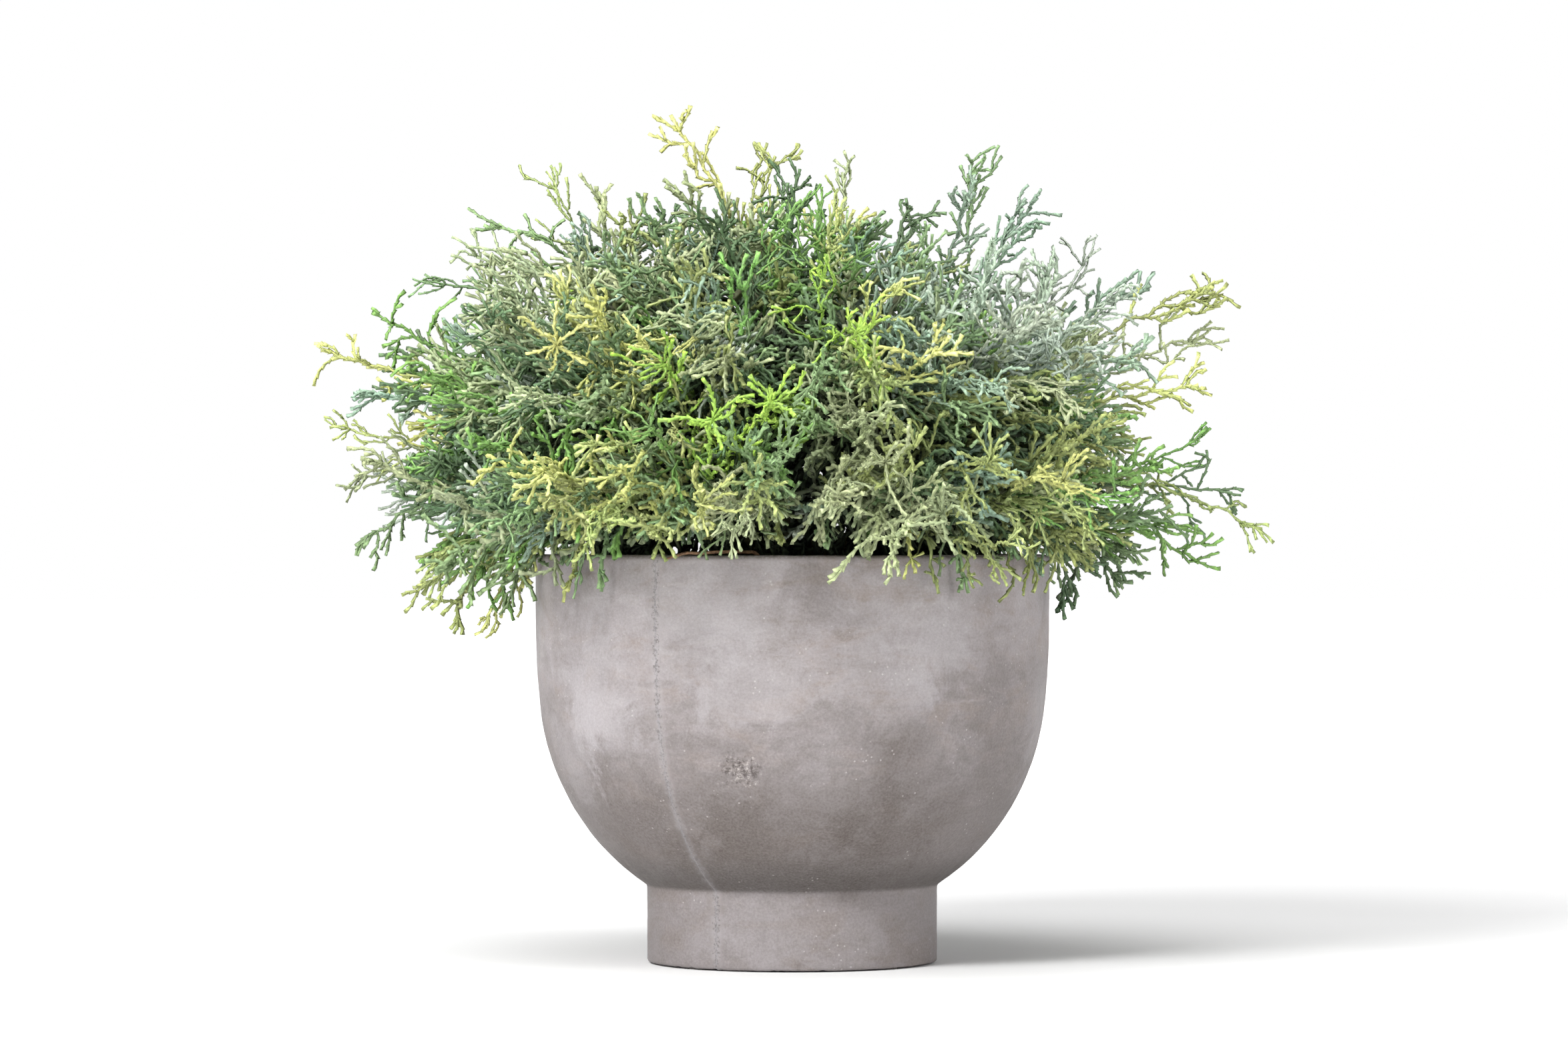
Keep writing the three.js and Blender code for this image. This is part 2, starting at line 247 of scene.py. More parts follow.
class Paint:
    """A procedural material that is put together from short calls, and painted over coat by coat."""

    def __init__(self, name, roughness, specular=0.5):
        self.material = bpy.data.materials.new(name)
        self.material.use_nodes = True
        self.tree = self.material.node_tree
        self.shader = self.tree.nodes["Principled BSDF"]
        self.shader.inputs["Roughness"].default_value = roughness
        self.shader.inputs["Specular IOR Level"].default_value = specular
        self.place = self.node("TexCoord").outputs["Object"]
        self.colour = None

    def feed(self, socket, value):
        """Links a node's output to a socket, or sets a colour's hex code or a plain value on it."""
        if isinstance(value, bpy.types.NodeSocket):
            self.tree.links.new(value, socket)
        elif isinstance(value, str):
            socket.default_value = (*linear(value), 1.0)
        else:
            socket.default_value = value

    def node(self, kind, inputs=(), **settings):
        """A new node of a kind, with inputs by name or number, and its settings."""
        made = self.tree.nodes.new("ShaderNode" + kind)
        for key, value in settings.items():
            setattr(made, key, value)
        for key, value in dict(inputs).items():
            self.feed(made.inputs[key], value)
        return made

    def noise(self, scale, detail=3.0, rough=0.55, warp=0.0, place=None):
        """Cloudy noise from 0 to 1."""
        inputs = {"Scale": scale, "Detail": detail, "Roughness": rough, "Distortion": warp,
                  "Vector": place or self.place}
        return self.node("TexNoise", inputs).outputs["Fac"]

    def cells(self, scale):
        """Distance to the nearest of scattered points."""
        return self.node("TexVoronoi", {"Scale": scale, "Vector": self.place}).outputs["Distance"]

    def stretched(self, z):
        """Object coordinates, with Z scaled."""
        return self.node("Mapping", {"Scale": (1, 1, z), "Vector": self.place}).outputs["Vector"]

    def ramp(self, value, *stops):
        """A colour ramp over value, from stops of position and hex code or linear colour."""
        made = self.node("ValToRGB", {"Fac": value})
        elements = made.color_ramp.elements
        while len(elements) < len(stops):
            elements.new(0.5)
        for element, (position, colour) in zip(elements, stops):
            element.position = position
            element.color = (*(linear(colour) if isinstance(colour, str) else colour), 1.0)
        return made.outputs["Color"]

    def spread(self, value, low, high, to_low=0.0, to_high=1.0):
        """Value taken from low…high to to_low…to_high, and held there beyond them."""
        inputs = enumerate((value, low, high, to_low, to_high))
        return self.node("MapRange", inputs, interpolation_type="SMOOTHSTEP").outputs["Result"]

    def math(self, operation, *terms):
        """Arithmetic on sockets and plain numbers."""
        return self.node("Math", enumerate(terms), operation=operation).outputs[0]

    def height(self):
        """The Z of Object coordinates, in metres."""
        return self.node("SeparateXYZ", {0: self.place}).outputs["Z"]

    def along(self, normal):
        """The distance from the plane through the origin with this normal, in metres."""
        return self.node("VectorMath", {0: self.place, 1: normal}, operation="DOT_PRODUCT").outputs["Value"]

    def distance(self, point):
        """The distance from a point, in metres."""
        return self.node("VectorMath", {0: self.place, 1: point}, operation="DISTANCE").outputs["Value"]

    def coat(self, colour):
        """Makes a socket's colour the base colour."""
        self.colour = colour
        self.feed(self.shader.inputs["Base Color"], colour)

    def over(self, tint, share, *factors):
        """Paints a tint over the base colour, by the product of a share and factors."""
        for factor in factors:
            share = self.math("MULTIPLY", share, factor)
        self.coat(self.node("Mix", {0: share, 6: self.colour, 7: tint}, data_type="RGBA").outputs[2])

    def rough(self, value, low, high):
        """Makes the surface rougher where value is higher."""
        self.feed(self.shader.inputs["Roughness"], self.spread(value, 0.3, 0.7, low, high))

    def bump(self, value, strength, size):
        """Raises the surface by value, of this size in metres."""
        normal = self.shader.inputs["Normal"]
        made = self.node("Bump", {"Strength": strength, "Distance": size, "Height": value})
        if normal.links:
            self.feed(made.inputs["Normal"], normal.links[0].from_socket)
        self.feed(normal, made.outputs["Normal"])

    def grained(self, grain, stops, bump, roughness=()):
        """Colours, bumps and perhaps roughness that all follow one grain."""
        self.coat(self.ramp(grain, *stops))
        self.bump(grain, *bump)
        if roughness:
            self.rough(grain, *roughness)


# ---- Planter ----

SIDE_ARC = 396.0
SIDE_ANGLE = math.radians(6.5)
BOWL_ARC = 101.5
BOWL_ARC_Z = 118.5
FOOT_RADIUS = 62.0
FOOT_WALL = 12.0
FOOT_HEIGHT = 33.4
FOOT_BOTTOM = 0.6
FLOOR_UNDER = 24.0
FLOOR_TOP = 34.0
DRAIN_RADIUS = 9.0
PAD_CIRCLE = FOOT_RADIUS - FOOT_WALL / 2
PAD_POCKET_RADIUS = 4.9
PAD_POCKET_TOP = 1.7

SEAM_AZIMUTH = -121.0  # of the mould's seam, which shows again on the far side
SEAM_WIDTH = 1.1
RIDGE_HEIGHT, GROOVE_DEPTH = 0.75, 0.4  # of the seam
BLEMISH_AZIMUTH = -102.3  # of a rough spot on the front
BLEMISH_HEIGHT = 86.0
BLEMISH_RADIUS = 9.0
CHIP_DEPTH, SMALL_CHIP_DEPTH = 2.2, 1.4  # of chips in the rim's and the foot's edges


def arc(centre_radius, centre_z, radius, start, end, step):
    """Points of radius and height along an arc, about step apart."""
    count = max(2, round(abs(end - start) * radius / step))
    return [(centre_radius + radius * math.cos(a), centre_z + radius * math.sin(a))
            for a in np.linspace(start, end, count + 1)]


def line(a, b, step):
    """Points from a towards b, about step apart, without b."""
    count = max(1, round(math.dist(a, b) / step))
    return [(a[0] + (b[0] - a[0]) * i / count, a[1] + (b[1] - a[1]) * i / count) for i in range(count)]


def bowl_side(inset, down_to, step):
    """The bowl's side from a height up to the rim, this far inside the outer face."""
    side_centre = RIM_RADIUS - SIDE_ARC
    side_z = BOWL_ARC_Z + (SIDE_ARC - BOWL_ARC) * math.sin(SIDE_ANGLE)
    bowl_centre = side_centre + (SIDE_ARC - BOWL_ARC) * math.cos(SIDE_ANGLE)
    lowest = -math.asin((BOWL_ARC_Z - down_to) / (BOWL_ARC - inset))
    lower = arc(bowl_centre, BOWL_ARC_Z, BOWL_ARC - inset, lowest, -SIDE_ANGLE, step)
    upper = arc(side_centre, side_z, SIDE_ARC - inset, -SIDE_ANGLE, 0, step)
    return lower + upper[1:]


def planter_profile():
    """The closed outline of the planter's wall, from the drain hole out, up and back down inside."""
    fine, coarse, edge, rim = 1.25, 5.0, 1.0, 2.0
    foot_inner = FOOT_RADIUS - FOOT_WALL
    corner = [(FOOT_RADIUS - edge, FOOT_BOTTOM), (FOOT_RADIUS - edge * 0.3, FOOT_BOTTOM + edge * 0.3)]
    outline = line((DRAIN_RADIUS, FLOOR_UNDER), (foot_inner, FLOOR_UNDER), coarse)
    outline += line((foot_inner, FLOOR_UNDER), (foot_inner, FOOT_BOTTOM), coarse)
    outline += line((foot_inner, FOOT_BOTTOM), corner[0], 2.2) + corner
    outline += line((FOOT_RADIUS, FOOT_BOTTOM + edge), (FOOT_RADIUS, FOOT_HEIGHT - 1.2), fine)
    outline += [(FOOT_RADIUS + 0.1, FOOT_HEIGHT - 0.7), (FOOT_RADIUS + 0.5, FOOT_HEIGHT + 0.2)]
    outline += [p for p in bowl_side(0, FOOT_HEIGHT, fine) if p[1] > FOOT_HEIGHT + 0.8]
    outline += line((RIM_RADIUS, outline[-1][1] + fine), (RIM_RADIUS, PLANTER_TOP - rim), fine)
    outline += arc(RIM_RADIUS - rim, PLANTER_TOP - rim, rim, 0, math.pi / 2, 0.6)
    outline += arc(RIM_RADIUS - WALL + rim, PLANTER_TOP - rim, rim, math.pi / 2, math.pi, 0.6)
    inside = bowl_side(WALL, FLOOR_TOP, coarse)[::-1]
    outline += line((RIM_RADIUS - WALL, PLANTER_TOP - rim - fine), inside[0], coarse) + inside
    outline += line((inside[-1][0] - 2, FLOOR_TOP), (DRAIN_RADIUS, FLOOR_TOP), coarse)
    outline += line((DRAIN_RADIUS, FLOOR_TOP), (DRAIN_RADIUS, FLOOR_UNDER), 3.0)
    return np.array(outline)


def planter_azimuths():
    """The lathe's columns: even all round, and closer at the seams and the rough spot."""
    even = np.arange(-180, 180, 1.5)
    seams = [SEAM_AZIMUTH + turn + np.linspace(-2.4, 2.4, 17) for turn in (0, 180)]
    spot = BLEMISH_AZIMUTH + np.linspace(-6, 6, 17)
    return np.sort(np.concatenate([even, *seams, spot]))


def seam_offset(azimuth, radius):
    """Signed distance from the nearer seam, in millimetres, positive to its right."""
    turn = math.radians(azimuth - SEAM_AZIMUTH)
    if math.cos(turn) < 0:
        turn -= math.pi
    return radius * math.sin(turn)


# The cement's unevenness, as heights and sizes in millimetres.
UNEVENNESS = ((0.35, 46), (0.12, 11), (0.07, 3.1))


def cement_relief(x, y, z, azimuth, radius):
    """How far the cement stands out from its plain outline, in millimetres."""
    point = Vector((x, y, z))
    relief = sum(height * noise.noise(point / size) for height, size in UNEVENNESS)
    offset = seam_offset(azimuth, radius) + 0.7 * noise.noise(Vector((0, 0, z / 9)))
    ridge = math.exp(-((offset - 0.7) / (0.6 * SEAM_WIDTH)) ** 2)
    groove = math.exp(-((offset + 1.0) / SEAM_WIDTH) ** 2)
    crumble = 0.6 + 0.6 * noise.noise(point / 2.2)
    relief += (RIDGE_HEIGHT * ridge - GROOVE_DEPTH * groove) * crumble
    spot_arc = math.radians(azimuth - BLEMISH_AZIMUTH) * radius
    spot = math.hypot(spot_arc, 0.8 * (z - BLEMISH_HEIGHT)) / BLEMISH_RADIUS
    if spot < 1.5:
        fade = max(0.0, 1 - spot / 1.5)
        relief -= fade * (0.35 + 1.3 * max(0.0, noise.noise(point / 2.4 + Vector((7, 3, 1)))))
    return relief


def planter():
    """The planter: a turned casting with a seam, a rough spot and chipped edges."""
    profile = planter_profile()
    azimuths = planter_azimuths()
    tangent = np.roll(profile, -1, 0) - np.roll(profile, 1, 0)
    tangent /= np.linalg.norm(tangent, axis=1)[:, None]
    outward = np.stack([tangent[:, 1], -tangent[:, 0]], 1)
    vertices = np.zeros((len(profile), len(azimuths), 3))
    for i, (radius, z) in enumerate(profile):
        outside = radius > 0.5 * (RIM_RADIUS + 0.1 * z)
        outer = radius > FOOT_RADIUS - FOOT_WALL and (z < FLOOR_UNDER or outside)
        near_rim, near_foot = PLANTER_TOP - z < 5, z < 4
        for j, azimuth in enumerate(azimuths):
            a = math.radians(azimuth)
            x, y = radius * math.cos(a), radius * math.sin(a)
            move = cement_relief(x, y, z, azimuth, radius) if outer else 0.0
            if near_rim or near_foot:
                chip = noise.noise(Vector((x / 5, y / 5, z / 14))) - 0.32
                chip_small = noise.noise(Vector((x / 1.8, y / 1.8, z / 5))) - 0.38
                move -= CHIP_DEPTH * max(0.0, chip) + SMALL_CHIP_DEPTH * max(0.0, chip_small)
            reach = radius + move * outward[i, 0]
            vertices[i, j] = reach * math.cos(a), reach * math.sin(a), z + move * outward[i, 1]
    row, column, faces = ring_faces(len(profile), len(azimuths))
    piece = add_mesh("cement_planter", vertices.reshape(-1, 3), faces)
    lay_out(piece, cell_corners(column, row) / (len(azimuths), len(profile)))
    cut_pad_pockets(piece)
    piece.data.materials.append(cement())
    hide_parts("planter_bowl")
    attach(piece, "planter")


def cut_pad_pockets(piece):
    """Cuts the four pockets that the felt pads sit in."""
    cutter = bmesh.new()
    for i in range(4):
        a = (i + 0.5) * math.pi / 2
        made = bmesh.ops.create_cone(cutter, cap_ends=True, segments=24, radius1=PAD_POCKET_RADIUS * MM,
                                     radius2=PAD_POCKET_RADIUS * MM, depth=2 * PAD_POCKET_TOP * MM)
        place = Vector((PAD_CIRCLE * math.cos(a), PAD_CIRCLE * math.sin(a), 0)) * MM
        bmesh.ops.translate(cutter, verts=made["verts"], vec=place)
    tool = object_from("pocket_cutter", cutter)
    cut = piece.modifiers.new("pockets", "BOOLEAN")
    cut.operation, cut.solver, cut.object = "DIFFERENCE", "EXACT", tool
    done = applied(piece)
    piece.modifiers.clear()
    piece.data = done
    bpy.data.objects.remove(tool)


# Dark and pale clouds in the cement: azimuth, height, radius, and how strong. The pale ones are
# partly painted highlight, strongest in the two bright patches high on the front at either side.
DARK_CLOUDS = (
    (-67, 80, 26, 0.4), (-97, 52, 34, 0.35), (-62, 58, 26, 0.45), (-36, 110, 26, 0.3), (-60, 92, 14, 0.35),
    (-134, 66, 26, 0.4), (-142, 84, 14, 0.3), (-80, 108, 20, 0.2), (-104, 58, 18, 0.4), (-86, 158, 20, 0.3),
    (-120, 44, 20, 0.35), (-78, 44, 26, 0.35), (-50, 70, 16, 0.35), (20, 70, 36, 0.35), (80, 112, 30, 0.3),
    (150, 58, 36, 0.35), (108, 44, 34, 0.35), (60, 48, 30, 0.3), (-175, 100, 24, 0.3), (0, 130, 24, 0.25),
)
PALE_CLOUDS_AND_HIGHLIGHTS = (
    (-139, 126, 34, 0.5), (-134, 98, 18, 0.3), (-57, 141, 22, 0.5), (-64, 124, 16, 0.3), (-112, 148, 26, 0.4),
    (-152, 96, 22, 0.3), (-100, 118, 24, 0.3), (-84, 88, 20, 0.2), (-52, 88, 18, 0.2),
    (50, 130, 36, 0.4), (120, 142, 32, 0.4), (-10, 98, 26, 0.3), (178, 138, 28, 0.4), (85, 76, 24, 0.2),
    (-96, 20, 22, 0.2), (-130, 16, 16, 0.2),
)


def bowl_radius(height):
    """The planter's outer radius at a height."""
    radii, heights = zip(*bowl_side(0, FOOT_HEIGHT, 4.0))
    return float(np.interp(height, heights, radii)) if height > FOOT_HEIGHT else FOOT_RADIUS


def clouds_over(paint, clouds, tint, ragged):
    """Soft ragged clouds of a tint on the bowl's surface."""
    for azimuth, height, radius, strength in clouds:
        place = around(azimuth, bowl_radius(height), height) * MM
        away = paint.math("ADD", paint.distance(place), paint.math("MULTIPLY", ragged, radius * MM))
        paint.over(tint, paint.spread(away, 1.25 * radius * MM, 0.25 * radius * MM), strength)


def seam_mask(paint, grain, reach, core):
    """1 within core of the mould's seam, in metres, and 0 from a ragged reach outwards."""
    offset = paint.math("ABSOLUTE", paint.along(direction(SEAM_AZIMUTH + 90, 0)))
    ragged = paint.math("ADD", offset, paint.spread(grain, 0.3, 0.7, -0.0012, 0.0012))
    return paint.spread(ragged, reach, core)


def cement():
    """Mottled cast cement, with painted shade low on the bowl and under it, and painted highlight
    high on its front. Heights and distances in it are in metres.
    """
    paint = Paint("cement", 0.65, 0.4)
    clouds = paint.noise(13, detail=6, rough=0.62, warp=0.5)
    smears = paint.noise(30, detail=5, rough=0.65, warp=0.8, place=paint.stretched(2.4))
    strokes = paint.noise(55, detail=5, rough=0.7, warp=0.4, place=paint.stretched(4.5))
    mottle = paint.noise(85, detail=6, rough=0.72, warp=0.3)
    grain = paint.noise(950, detail=3, rough=0.7)
    height = paint.height()
    paint.coat(paint.ramp(clouds, (0.3, "7F7777"), (0.5, "8E8789"), (0.7, "9C9698")))
    paint.over("78675B", paint.spread(smears, 0.48, 0.66), 0.45)
    paint.over("6B5F59", paint.spread(strokes, 0.52, 0.72, 0.0, 0.35))
    paint.over("B0A9A9", paint.spread(strokes, 0.46, 0.3, 0.0, 0.3))
    paint.over("A39C9E", paint.spread(mottle, 0.35, 0.65, 0.0, 0.3))
    paint.over("70645C", paint.spread(mottle, 0.6, 0.3, 0.0, 0.28))

    # A darkening that rises from the foot, partly brown stain and partly painted shade on the lower bowl,
    # which faces down, away from the lights; and the placed clouds.
    wavy = paint.math("ADD", height, paint.spread(smears, 0.3, 0.7, -0.022, 0.022))
    paint.over("4E4540", paint.spread(wavy, 0.155, 0.058), paint.spread(height, 0.032, 0.036, 0.42, 0.68))
    ragged = paint.spread(paint.noise(38, detail=6, rough=0.7, warp=0.4), 0.2, 0.8, -1.0, 1.0)
    clouds_over(paint, DARK_CLOUDS, "4A3F39", ragged)
    # Pale clouds, partly painted highlight high on the front.
    clouds_over(paint, PALE_CLOUDS_AND_HIGHLIGHTS, "A49FA2", ragged)

    # A dark band where the bowl meets the foot, partly dirt and partly painted shade under the bowl's
    # overhang; then grain, specks and fine scratches.
    paint.over("3E3733", paint.spread(height, 0.0325, 0.0345), paint.spread(height, 0.052, 0.037), 0.7)
    paint.over(paint.ramp(grain, (0.3, (0.10, 0.09, 0.085)), (0.7, (0.6, 0.58, 0.57))), 0.13)
    sparse = paint.spread(paint.noise(45, detail=2), 0.5, 0.64)
    paint.over("CFCAC7", paint.spread(paint.cells(330), 0.17, 0.1), sparse, 0.35)
    scratches = paint.noise(60, detail=2, warp=1.5, place=paint.stretched(0.08))
    paint.over("C4BDB9", paint.spread(scratches, 0.012, 0.0), 0.3)

    # The seam's pale band and its groove.
    crumbling = paint.noise(300, detail=3)
    paint.over("A8A4A6", seam_mask(paint, grain, 0.0034, 0.001), paint.spread(crumbling, 0.6, 0.4, 0.1, 0.3))
    paint.over(paint.ramp(grain, (0.35, "5E5856"), (0.62, "98969A")),
               seam_mask(paint, grain, 0.0015, 0.0003), paint.spread(crumbling, 0.35, 0.55, 0.3, 0.8))

    # The rough spot's dark pits and pale crumbs.
    spot_place = around(BLEMISH_AZIMUTH, bowl_radius(BLEMISH_HEIGHT), BLEMISH_HEIGHT)
    uneven = paint.spread(paint.noise(230, detail=5, rough=0.7), 0.2, 0.8, -0.006, 0.006)
    rough_spot = paint.spread(paint.math("ADD", paint.distance(spot_place * MM), uneven), 0.0105, 0.002)
    crumbs = paint.noise(420, detail=5, rough=0.8)
    paint.over("3D3632", rough_spot, paint.spread(crumbs, 0.52, 0.42), 0.8)
    paint.over("BBB4AF", rough_spot, paint.spread(crumbs, 0.53, 0.63), 0.7)

    # The worn top of the rim.
    paint.over("6A605A", paint.spread(height, 0.1718, 0.1738), paint.spread(grain, 0.38, 0.58), 0.65)
    paint.rough(mottle, 0.5, 0.72)
    paint.bump(mottle, 0.3, 0.0006)
    paint.bump(grain, 0.35, 0.0003)
    return paint.material


# ---- Foliage: threads ----

CORNERS = 3  # of a thread's cross-section
FINE_PITCH = 1.55  # between rings: each third ring has a scale on the same corner
THREAD_RADIUS = 0.54
INNER_BUILD = (4.5, 0.72)  # pitch and radius, for growth that is hardly seen
TWIG_BUILD = (4.5, 1.5)
SCALE_OUT = 2.1  # how much wider a thread is at a scale
SCALE_FORWARD = 0.9  # how far a scale leans ahead, as a share of the pitch
# Scales are paler, partly bloom and partly painted highlight; grooves are darker as painted shade.
SCALE_LIGHT, GROOVE_LIGHT = 1.34, 0.7  # how bright scales and the grooves between them are painted
DEPTH_SHADES = ((0.4, 0.8), (0.45, 1.0))  # shares of the dome's reach, and foliage's brightness in painted shade
FLARES = (1.2, 2.1)  # how far tips widen, at least and at most
FLARE_LENGTH = 2.6 * FINE_PITCH
SWAY_WAVES = (2.3, 3.4)  # of a thread's two sways: their lengths over 2 pi
SWAY_FROM = 8.0  # the length at which a thread sways fully

# How foliage colours run from the root of a sprig to its tips.
FAMILIES = {name: (linear(root), linear(tip)) for name, root, tip in (
    ("yellow", "7A8A4A", "E8EC90"), ("olive", "5C6B3C", "BBC87C"), ("lime", "5A8C38", "B6E25A"),
    ("bright", "3F6636", "8ABA60"), ("mid", "45633F", "93B27C"), ("dark", "2F4433", "6C8A62"),
    ("blue", "4B6659", "A4BFA8"), ("silver", "5C7765", "C6D5C2"), ("grey_olive", "5F6C4A", "BAC697"),
)}
BARK = linear("4A4632")


def bezier(start, control, end, t):
    """The point at t of a curve with one control."""
    return (1 - t) ** 2 * start + 2 * t * (1 - t) * control + t * t * end


class Thread:
    """A scaly thread along a bent path, in millimetres, with its colour at both ends."""

    def __init__(self, start, control, end, tints, pitch=FINE_PITCH, radius=THREAD_RADIUS, flare=None):
        self.path = np.array([start, control, end])
        chord = end - start
        self.length = 0.5 * (np.linalg.norm(chord) + np.linalg.norm(control - start)
                             + np.linalg.norm(end - control))
        self.side = square_to(chord)
        self.lift = np.cross(unit(chord), self.side)
        self.phases = rng.uniform(0, 2 * math.pi, 2)
        self.sway = min(1.0, 0.04 * self.length) * rng.uniform(0.3, 1.2, 2)
        self.tints = np.array(tints)
        self.pitch, self.radius = pitch, radius
        self.flare = flare or rng.uniform(*FLARES)
        self.rings = max(4, round(self.length / pitch) + 1)

    def at(self, t):
        """The point at this share of the length."""
        point = bezier(*self.path, t)
        s = t * self.length
        fade = min(1.0, s / SWAY_FROM)
        point = point + fade * self.sway[0] * math.sin(s / SWAY_WAVES[0] + self.phases[0]) * self.side
        return point + fade * self.sway[1] * math.sin(s / SWAY_WAVES[1] + self.phases[1]) * self.lift

    def heading(self, t):
        """The direction at this share of the length."""
        start, control, end = self.path
        return unit((1 - t) * (control - start) + t * (end - control) + 1e-9)

    def tint(self, t):
        """The colour at this share of the length."""
        return self.tints[0] + (self.tints[1] - self.tints[0]) * t


def clear_of_rim(points):
    """Points moved out of the room around the planter's rim, to its nearest side, and up off the soil."""
    radius = np.maximum(np.hypot(points[..., 0], points[..., 1]), 1e-6)
    inward, outward = radius - GUARD_INSIDE, GUARD_OUTSIDE - radius
    upward = GUARD_TOP - points[..., 2]
    inside = (inward > 0) & (outward > 0) & (upward > 0)
    least = np.minimum(np.minimum(inward, outward), upward)
    rise = inside & (upward <= least)
    shift_in = inside & ~rise & (inward <= least)
    shift_out = inside & ~rise & ~shift_in
    radius_to = np.where(shift_in, GUARD_INSIDE, np.where(shift_out, GUARD_OUTSIDE, radius))
    moved = points.copy()
    moved[..., :2] *= (radius_to / radius)[..., None]
    moved[..., 2] = np.where(rise, GUARD_TOP, moved[..., 2])
    sunk = (radius_to < GUARD_OUTSIDE) & (moved[..., 2] < GUARD_SOIL)
    moved[..., 2] = np.where(sunk, GUARD_SOIL + 0.15 * (moved[..., 2] - GUARD_SOIL), moved[..., 2])
    return moved


def pierces_wall(thread):
    """Whether a thread runs through the planter's wall."""
    if thread.path[:, 2].min() > GUARD_TOP or np.hypot(*thread.path[:, :2].T).max() < GUARD_INSIDE:
        return False
    points = bezier(*thread.path, np.linspace(0, 1, 16)[:, None])
    outside = np.hypot(points[:, 0], points[:, 1]) > RIM_RADIUS - WALL / 2
    return bool(((outside[1:] != outside[:-1]) & (points[1:, 2] < GUARD_TOP)).any())


def depth_shade(points):
    """How much darker foliage is painted deep in the bush, as painted shade where outer growth shades it."""
    away = points - DOME_CENTRE
    distance = np.linalg.norm(away, axis=-1, keepdims=True) + 1e-6
    elevation = np.degrees(np.arcsin(np.clip(away[..., 2:] / distance, -1, 1)))
    return np.interp(distance / dome_reach(elevation), *DEPTH_SHADES)


def fits(thread):
    """Whether a thread keeps out of the planter's wall, and coarse inner growth out of sight over the rim."""
    end = thread.path[2]
    over_rim = math.hypot(end[0], end[1]) > GUARD_INSIDE and end[2] < GUARD_TOP + 6
    return not pierces_wall(thread) and not (over_rim and thread.pitch == INNER_BUILD[0])


def thread_batch(threads):
    """Rings of points for threads with the same count of rings, with a colour for each point."""

    def each(name):
        """This value of every thread."""
        return np.array([getattr(thread, name) for thread in threads])

    count = threads[0].rings
    t = np.linspace(0, 1, count)[None, :, None]
    length, radius, flare = (each(name)[:, None, None] for name in ("length", "radius", "flare"))
    s = t * length
    centre = bezier(*np.moveaxis(each("path"), 1, 0)[:, :, None, :], t)
    for axis, (across, wave) in enumerate(zip(("side", "lift"), SWAY_WAVES)):
        sway, phase = each("sway")[:, axis, None, None], each("phases")[:, axis, None, None]
        sway = np.minimum(1, s / SWAY_FROM) * sway
        centre = centre + sway * np.sin(s / wave + phase) * each(across)[:, None, :]
    centre = clear_of_rim(centre)
    ahead = np.gradient(centre, axis=1)
    ahead /= np.linalg.norm(ahead, axis=2, keepdims=True) + 1e-9
    normal = np.zeros_like(ahead)
    carried = each("side")
    for j in range(count):
        carried = carried - (carried * ahead[:, j]).sum(1, keepdims=True) * ahead[:, j]
        carried /= np.linalg.norm(carried, axis=1, keepdims=True) + 1e-9
        normal[:, j] = carried
    binormal = np.cross(ahead, normal)
    ring, corner = np.arange(count)[:, None], np.arange(CORNERS)[None, :]
    scale = (ring % CORNERS) == corner
    swell = np.where(scale, SCALE_OUT, 1.0)[None]
    push = np.where(scale, SCALE_FORWARD, -0.1)[None]
    pitch = length / (count - 1)
    near_tip = np.clip((s - length + FLARE_LENGTH) / FLARE_LENGTH, 0, 1)
    widening = 1 + (flare - 1) * near_tip ** 2
    reach = radius * (swell * (1 - near_tip) + near_tip) * widening
    turn = 2 * math.pi / CORNERS * corner[None]
    points = (centre[:, :, None] + (reach * np.cos(turn))[..., None] * normal[:, :, None]
              + (reach * np.sin(turn))[..., None] * binormal[:, :, None]
              + (push * pitch * (1 - near_tip))[..., None] * ahead[:, :, None])
    sunk = centre[:, -1:, None] + 0.62 * (points[:, -1:] - centre[:, -1:, None])
    sunk = sunk - 0.9 * (radius * (flare - 0.4))[..., None] * ahead[:, -1:, None]
    points = np.concatenate([points, sunk], 1)
    tints = each("tints")
    # Tints along each thread, darkened by painted shade deep in the bush.
    tint = (tints[:, :1] + (tints[:, 1:] - tints[:, :1]) * t ** 0.8) * depth_shade(centre)
    # The sunk centre of each tip is darker, as painted shade in its hollow.
    tint = np.concatenate([tint, 0.55 * tint[:, -1:]], 1)[:, :, None, :]
    # Paler scales, partly bloom and partly painted highlight, and grooves darkened as painted shade.
    light = np.where(scale, SCALE_LIGHT, GROOVE_LIGHT)[None, :, :, None]
    light = np.concatenate([light, np.ones((1, 1, CORNERS, 1))], 1)
    return points, np.broadcast_to(tint * light, points.shape)


def batch_faces(count, threads, first):
    """The faces of a batch: the four-sided ones round each thread, and the three-sided ones at its ends."""
    ring, corner = np.meshgrid(np.arange(count - 1), np.arange(CORNERS), indexing="ij")
    here, after = ring * CORNERS + corner, ring * CORNERS + (corner + 1) % CORNERS
    sides = np.stack([here, after, after + CORNERS, here + CORNERS], -1).reshape(-1, 4)
    last = CORNERS * (count - 1)
    ends = np.array([[2, 1, 0], [last, last + 1, last + 2]])
    offsets = first + np.arange(threads)[:, None, None] * CORNERS * count
    return (sides[None] + offsets).reshape(-1, 4), (ends[None] + offsets).reshape(-1, 3)


def batch_uvs(count, places):
    """A strip of UV cells for each thread of a batch, from the strip's lower left corner."""
    ring, corner = np.meshgrid(np.arange(count - 1), np.arange(CORNERS), indexing="ij")
    sides = cell_corners(corner, ring)
    cell = np.array([[0, 0], [1, 0], [0.5, 1]], float)
    ends = np.stack([cell + (0, -1), cell + (0, count - 1)])
    places = np.array(places)[:, None, None, :]
    return (sides.reshape(-1, 4, 2)[None] + places).reshape(-1, 2), (ends[None] + places).reshape(-1, 2)


